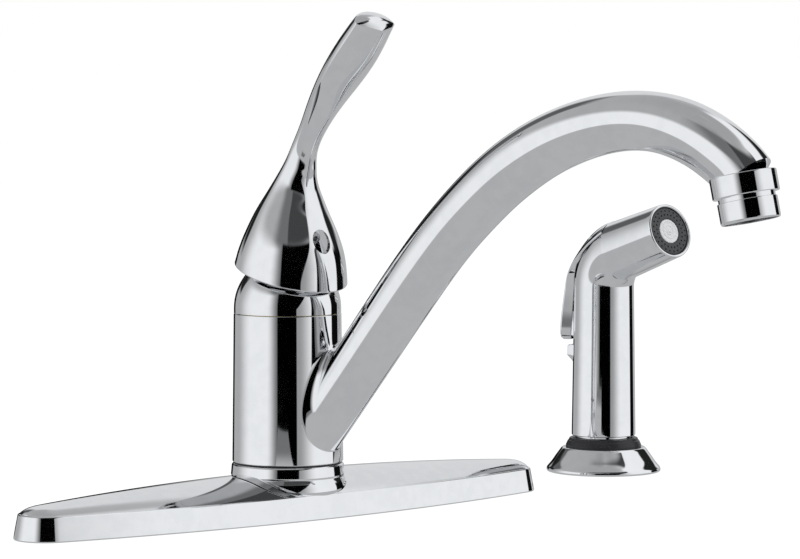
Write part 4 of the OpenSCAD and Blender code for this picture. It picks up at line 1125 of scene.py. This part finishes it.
# Rows of holes have their radius, their number and the share of a step that they are turned by
nozzle = {"radius": 10.95, "bore": 5.6, "height": 2.9, "rows": ((9.4, 24, 0), (7.6, 24, 0.5)),
          "hole": 0.42, "drillFoot": 1.2, "drillTop": 5, "disc": 5.5, "discSeat": 6.9, "discTop": 2.8,
          "rib": 0.25, "grooves": (3.9, 2.1), "grooveTop": 0.5, "grooveFoot": 0.3, "dot": 0.9,
          "dotRise": 0.25}


def buildNozzle():
    n, s = nozzle, sprayer
    base = s["headLength"] - s["seat"]
    face = base + n["height"]
    outline = soften([
        (n["bore"], base, 0.1), (n["bore"], face - 0.5, 0.2), (n["bore"] + 0.5, face - 0.1, 0.3),
        (8.5, face, 1.2), (n["radius"] - 0.5, face - 0.15, 0.4),
        (n["radius"], face - 0.6, 0.2), (n["radius"], base, 0.1),
    ])
    piece = newMesh("nozzlePlate", [lathe(outline, 144, atHead)])
    axes = atHead([[1, 0, 0], [0, 1, 0], [0, 0, 1]]) - atHead([[0, 0, 0]])
    drills = []
    for radius, count, offset in n["rows"]:
        for k in range(count):
            angle = 2 * pi * (k + offset) / count
            origin = atHead([[radius * cos(angle), radius * sin(angle), 0]])[0]
            place = frameAt(origin, *axes)
            drills.append(plug(n["hole"], base + n["drillFoot"], base + n["drillTop"], 14, place))
    carve(piece, drills, 30)
    finishPiece(piece, ringPlastic, "sprayer", ["nozzle_ring"])
    top = base + n["discTop"]
    disc = [(nearAxis, base - 1), (n["discSeat"], base - 1), (n["discSeat"], base - 0.1),
            (n["disc"], base - 0.1), (n["disc"], top - 0.3, 0.2), (n["disc"] - 0.3, top, 0.2)]
    for ring in n["grooves"]:
        disc += [(ring + n["grooveTop"], top - 0.05, 0.12), (ring + n["grooveFoot"], top - n["rib"], 0.12),
                 (ring - n["grooveFoot"], top - n["rib"], 0.12), (ring - n["grooveTop"], top - 0.05, 0.12)]
    disc += [(n["dot"], top - 0.05, 0.2), (n["dot"] - 0.2, top + n["dotRise"], 0.2),
             (nearAxis, top + n["dotRise"])]
    button = newMesh("nozzleDisc", [lathe(soften(disc, steps=3), 120, atHead)])
    finishPiece(button, discPlastic, "sprayer", ["spray_disc"])


buildFlange()
buildGuide()
buildShell()
buildLever()
buildNozzle()
print("sprayer made")


# Threads below the deck

studThread = {"foot": -58, "top": 9, "pitch": 1.8, "depth": 0.7, "radius": 4.75, "sides": 40}


def buildThreads():
    half = plate["studSpacing"] / 2
    rods = [threaded(studThread, (x, 0)) for x in (-half, half)]
    finishPiece(newMesh("studThreads", rods, 60), steel, "base", ["mounting_studs"])


buildThreads()
print("threads made")


# The pieces that keep their solids get their finish

finishOf = {"chrome": chrome, "brass": brass, "steel": steel, "black_plastic": blackPlastic,
            "white_plastic": whitePlastic, "rubber": rubber, "ceramic": ceramic}
slotOf = {part["node"]: part["material_slot"] for part in frame["record"]["subparts"]}
for name, solid in frame["nodes"].items():
    solid.data.materials.clear()
    solid.data.materials.append(finishOf[slotOf[name]])
print("solids finished")
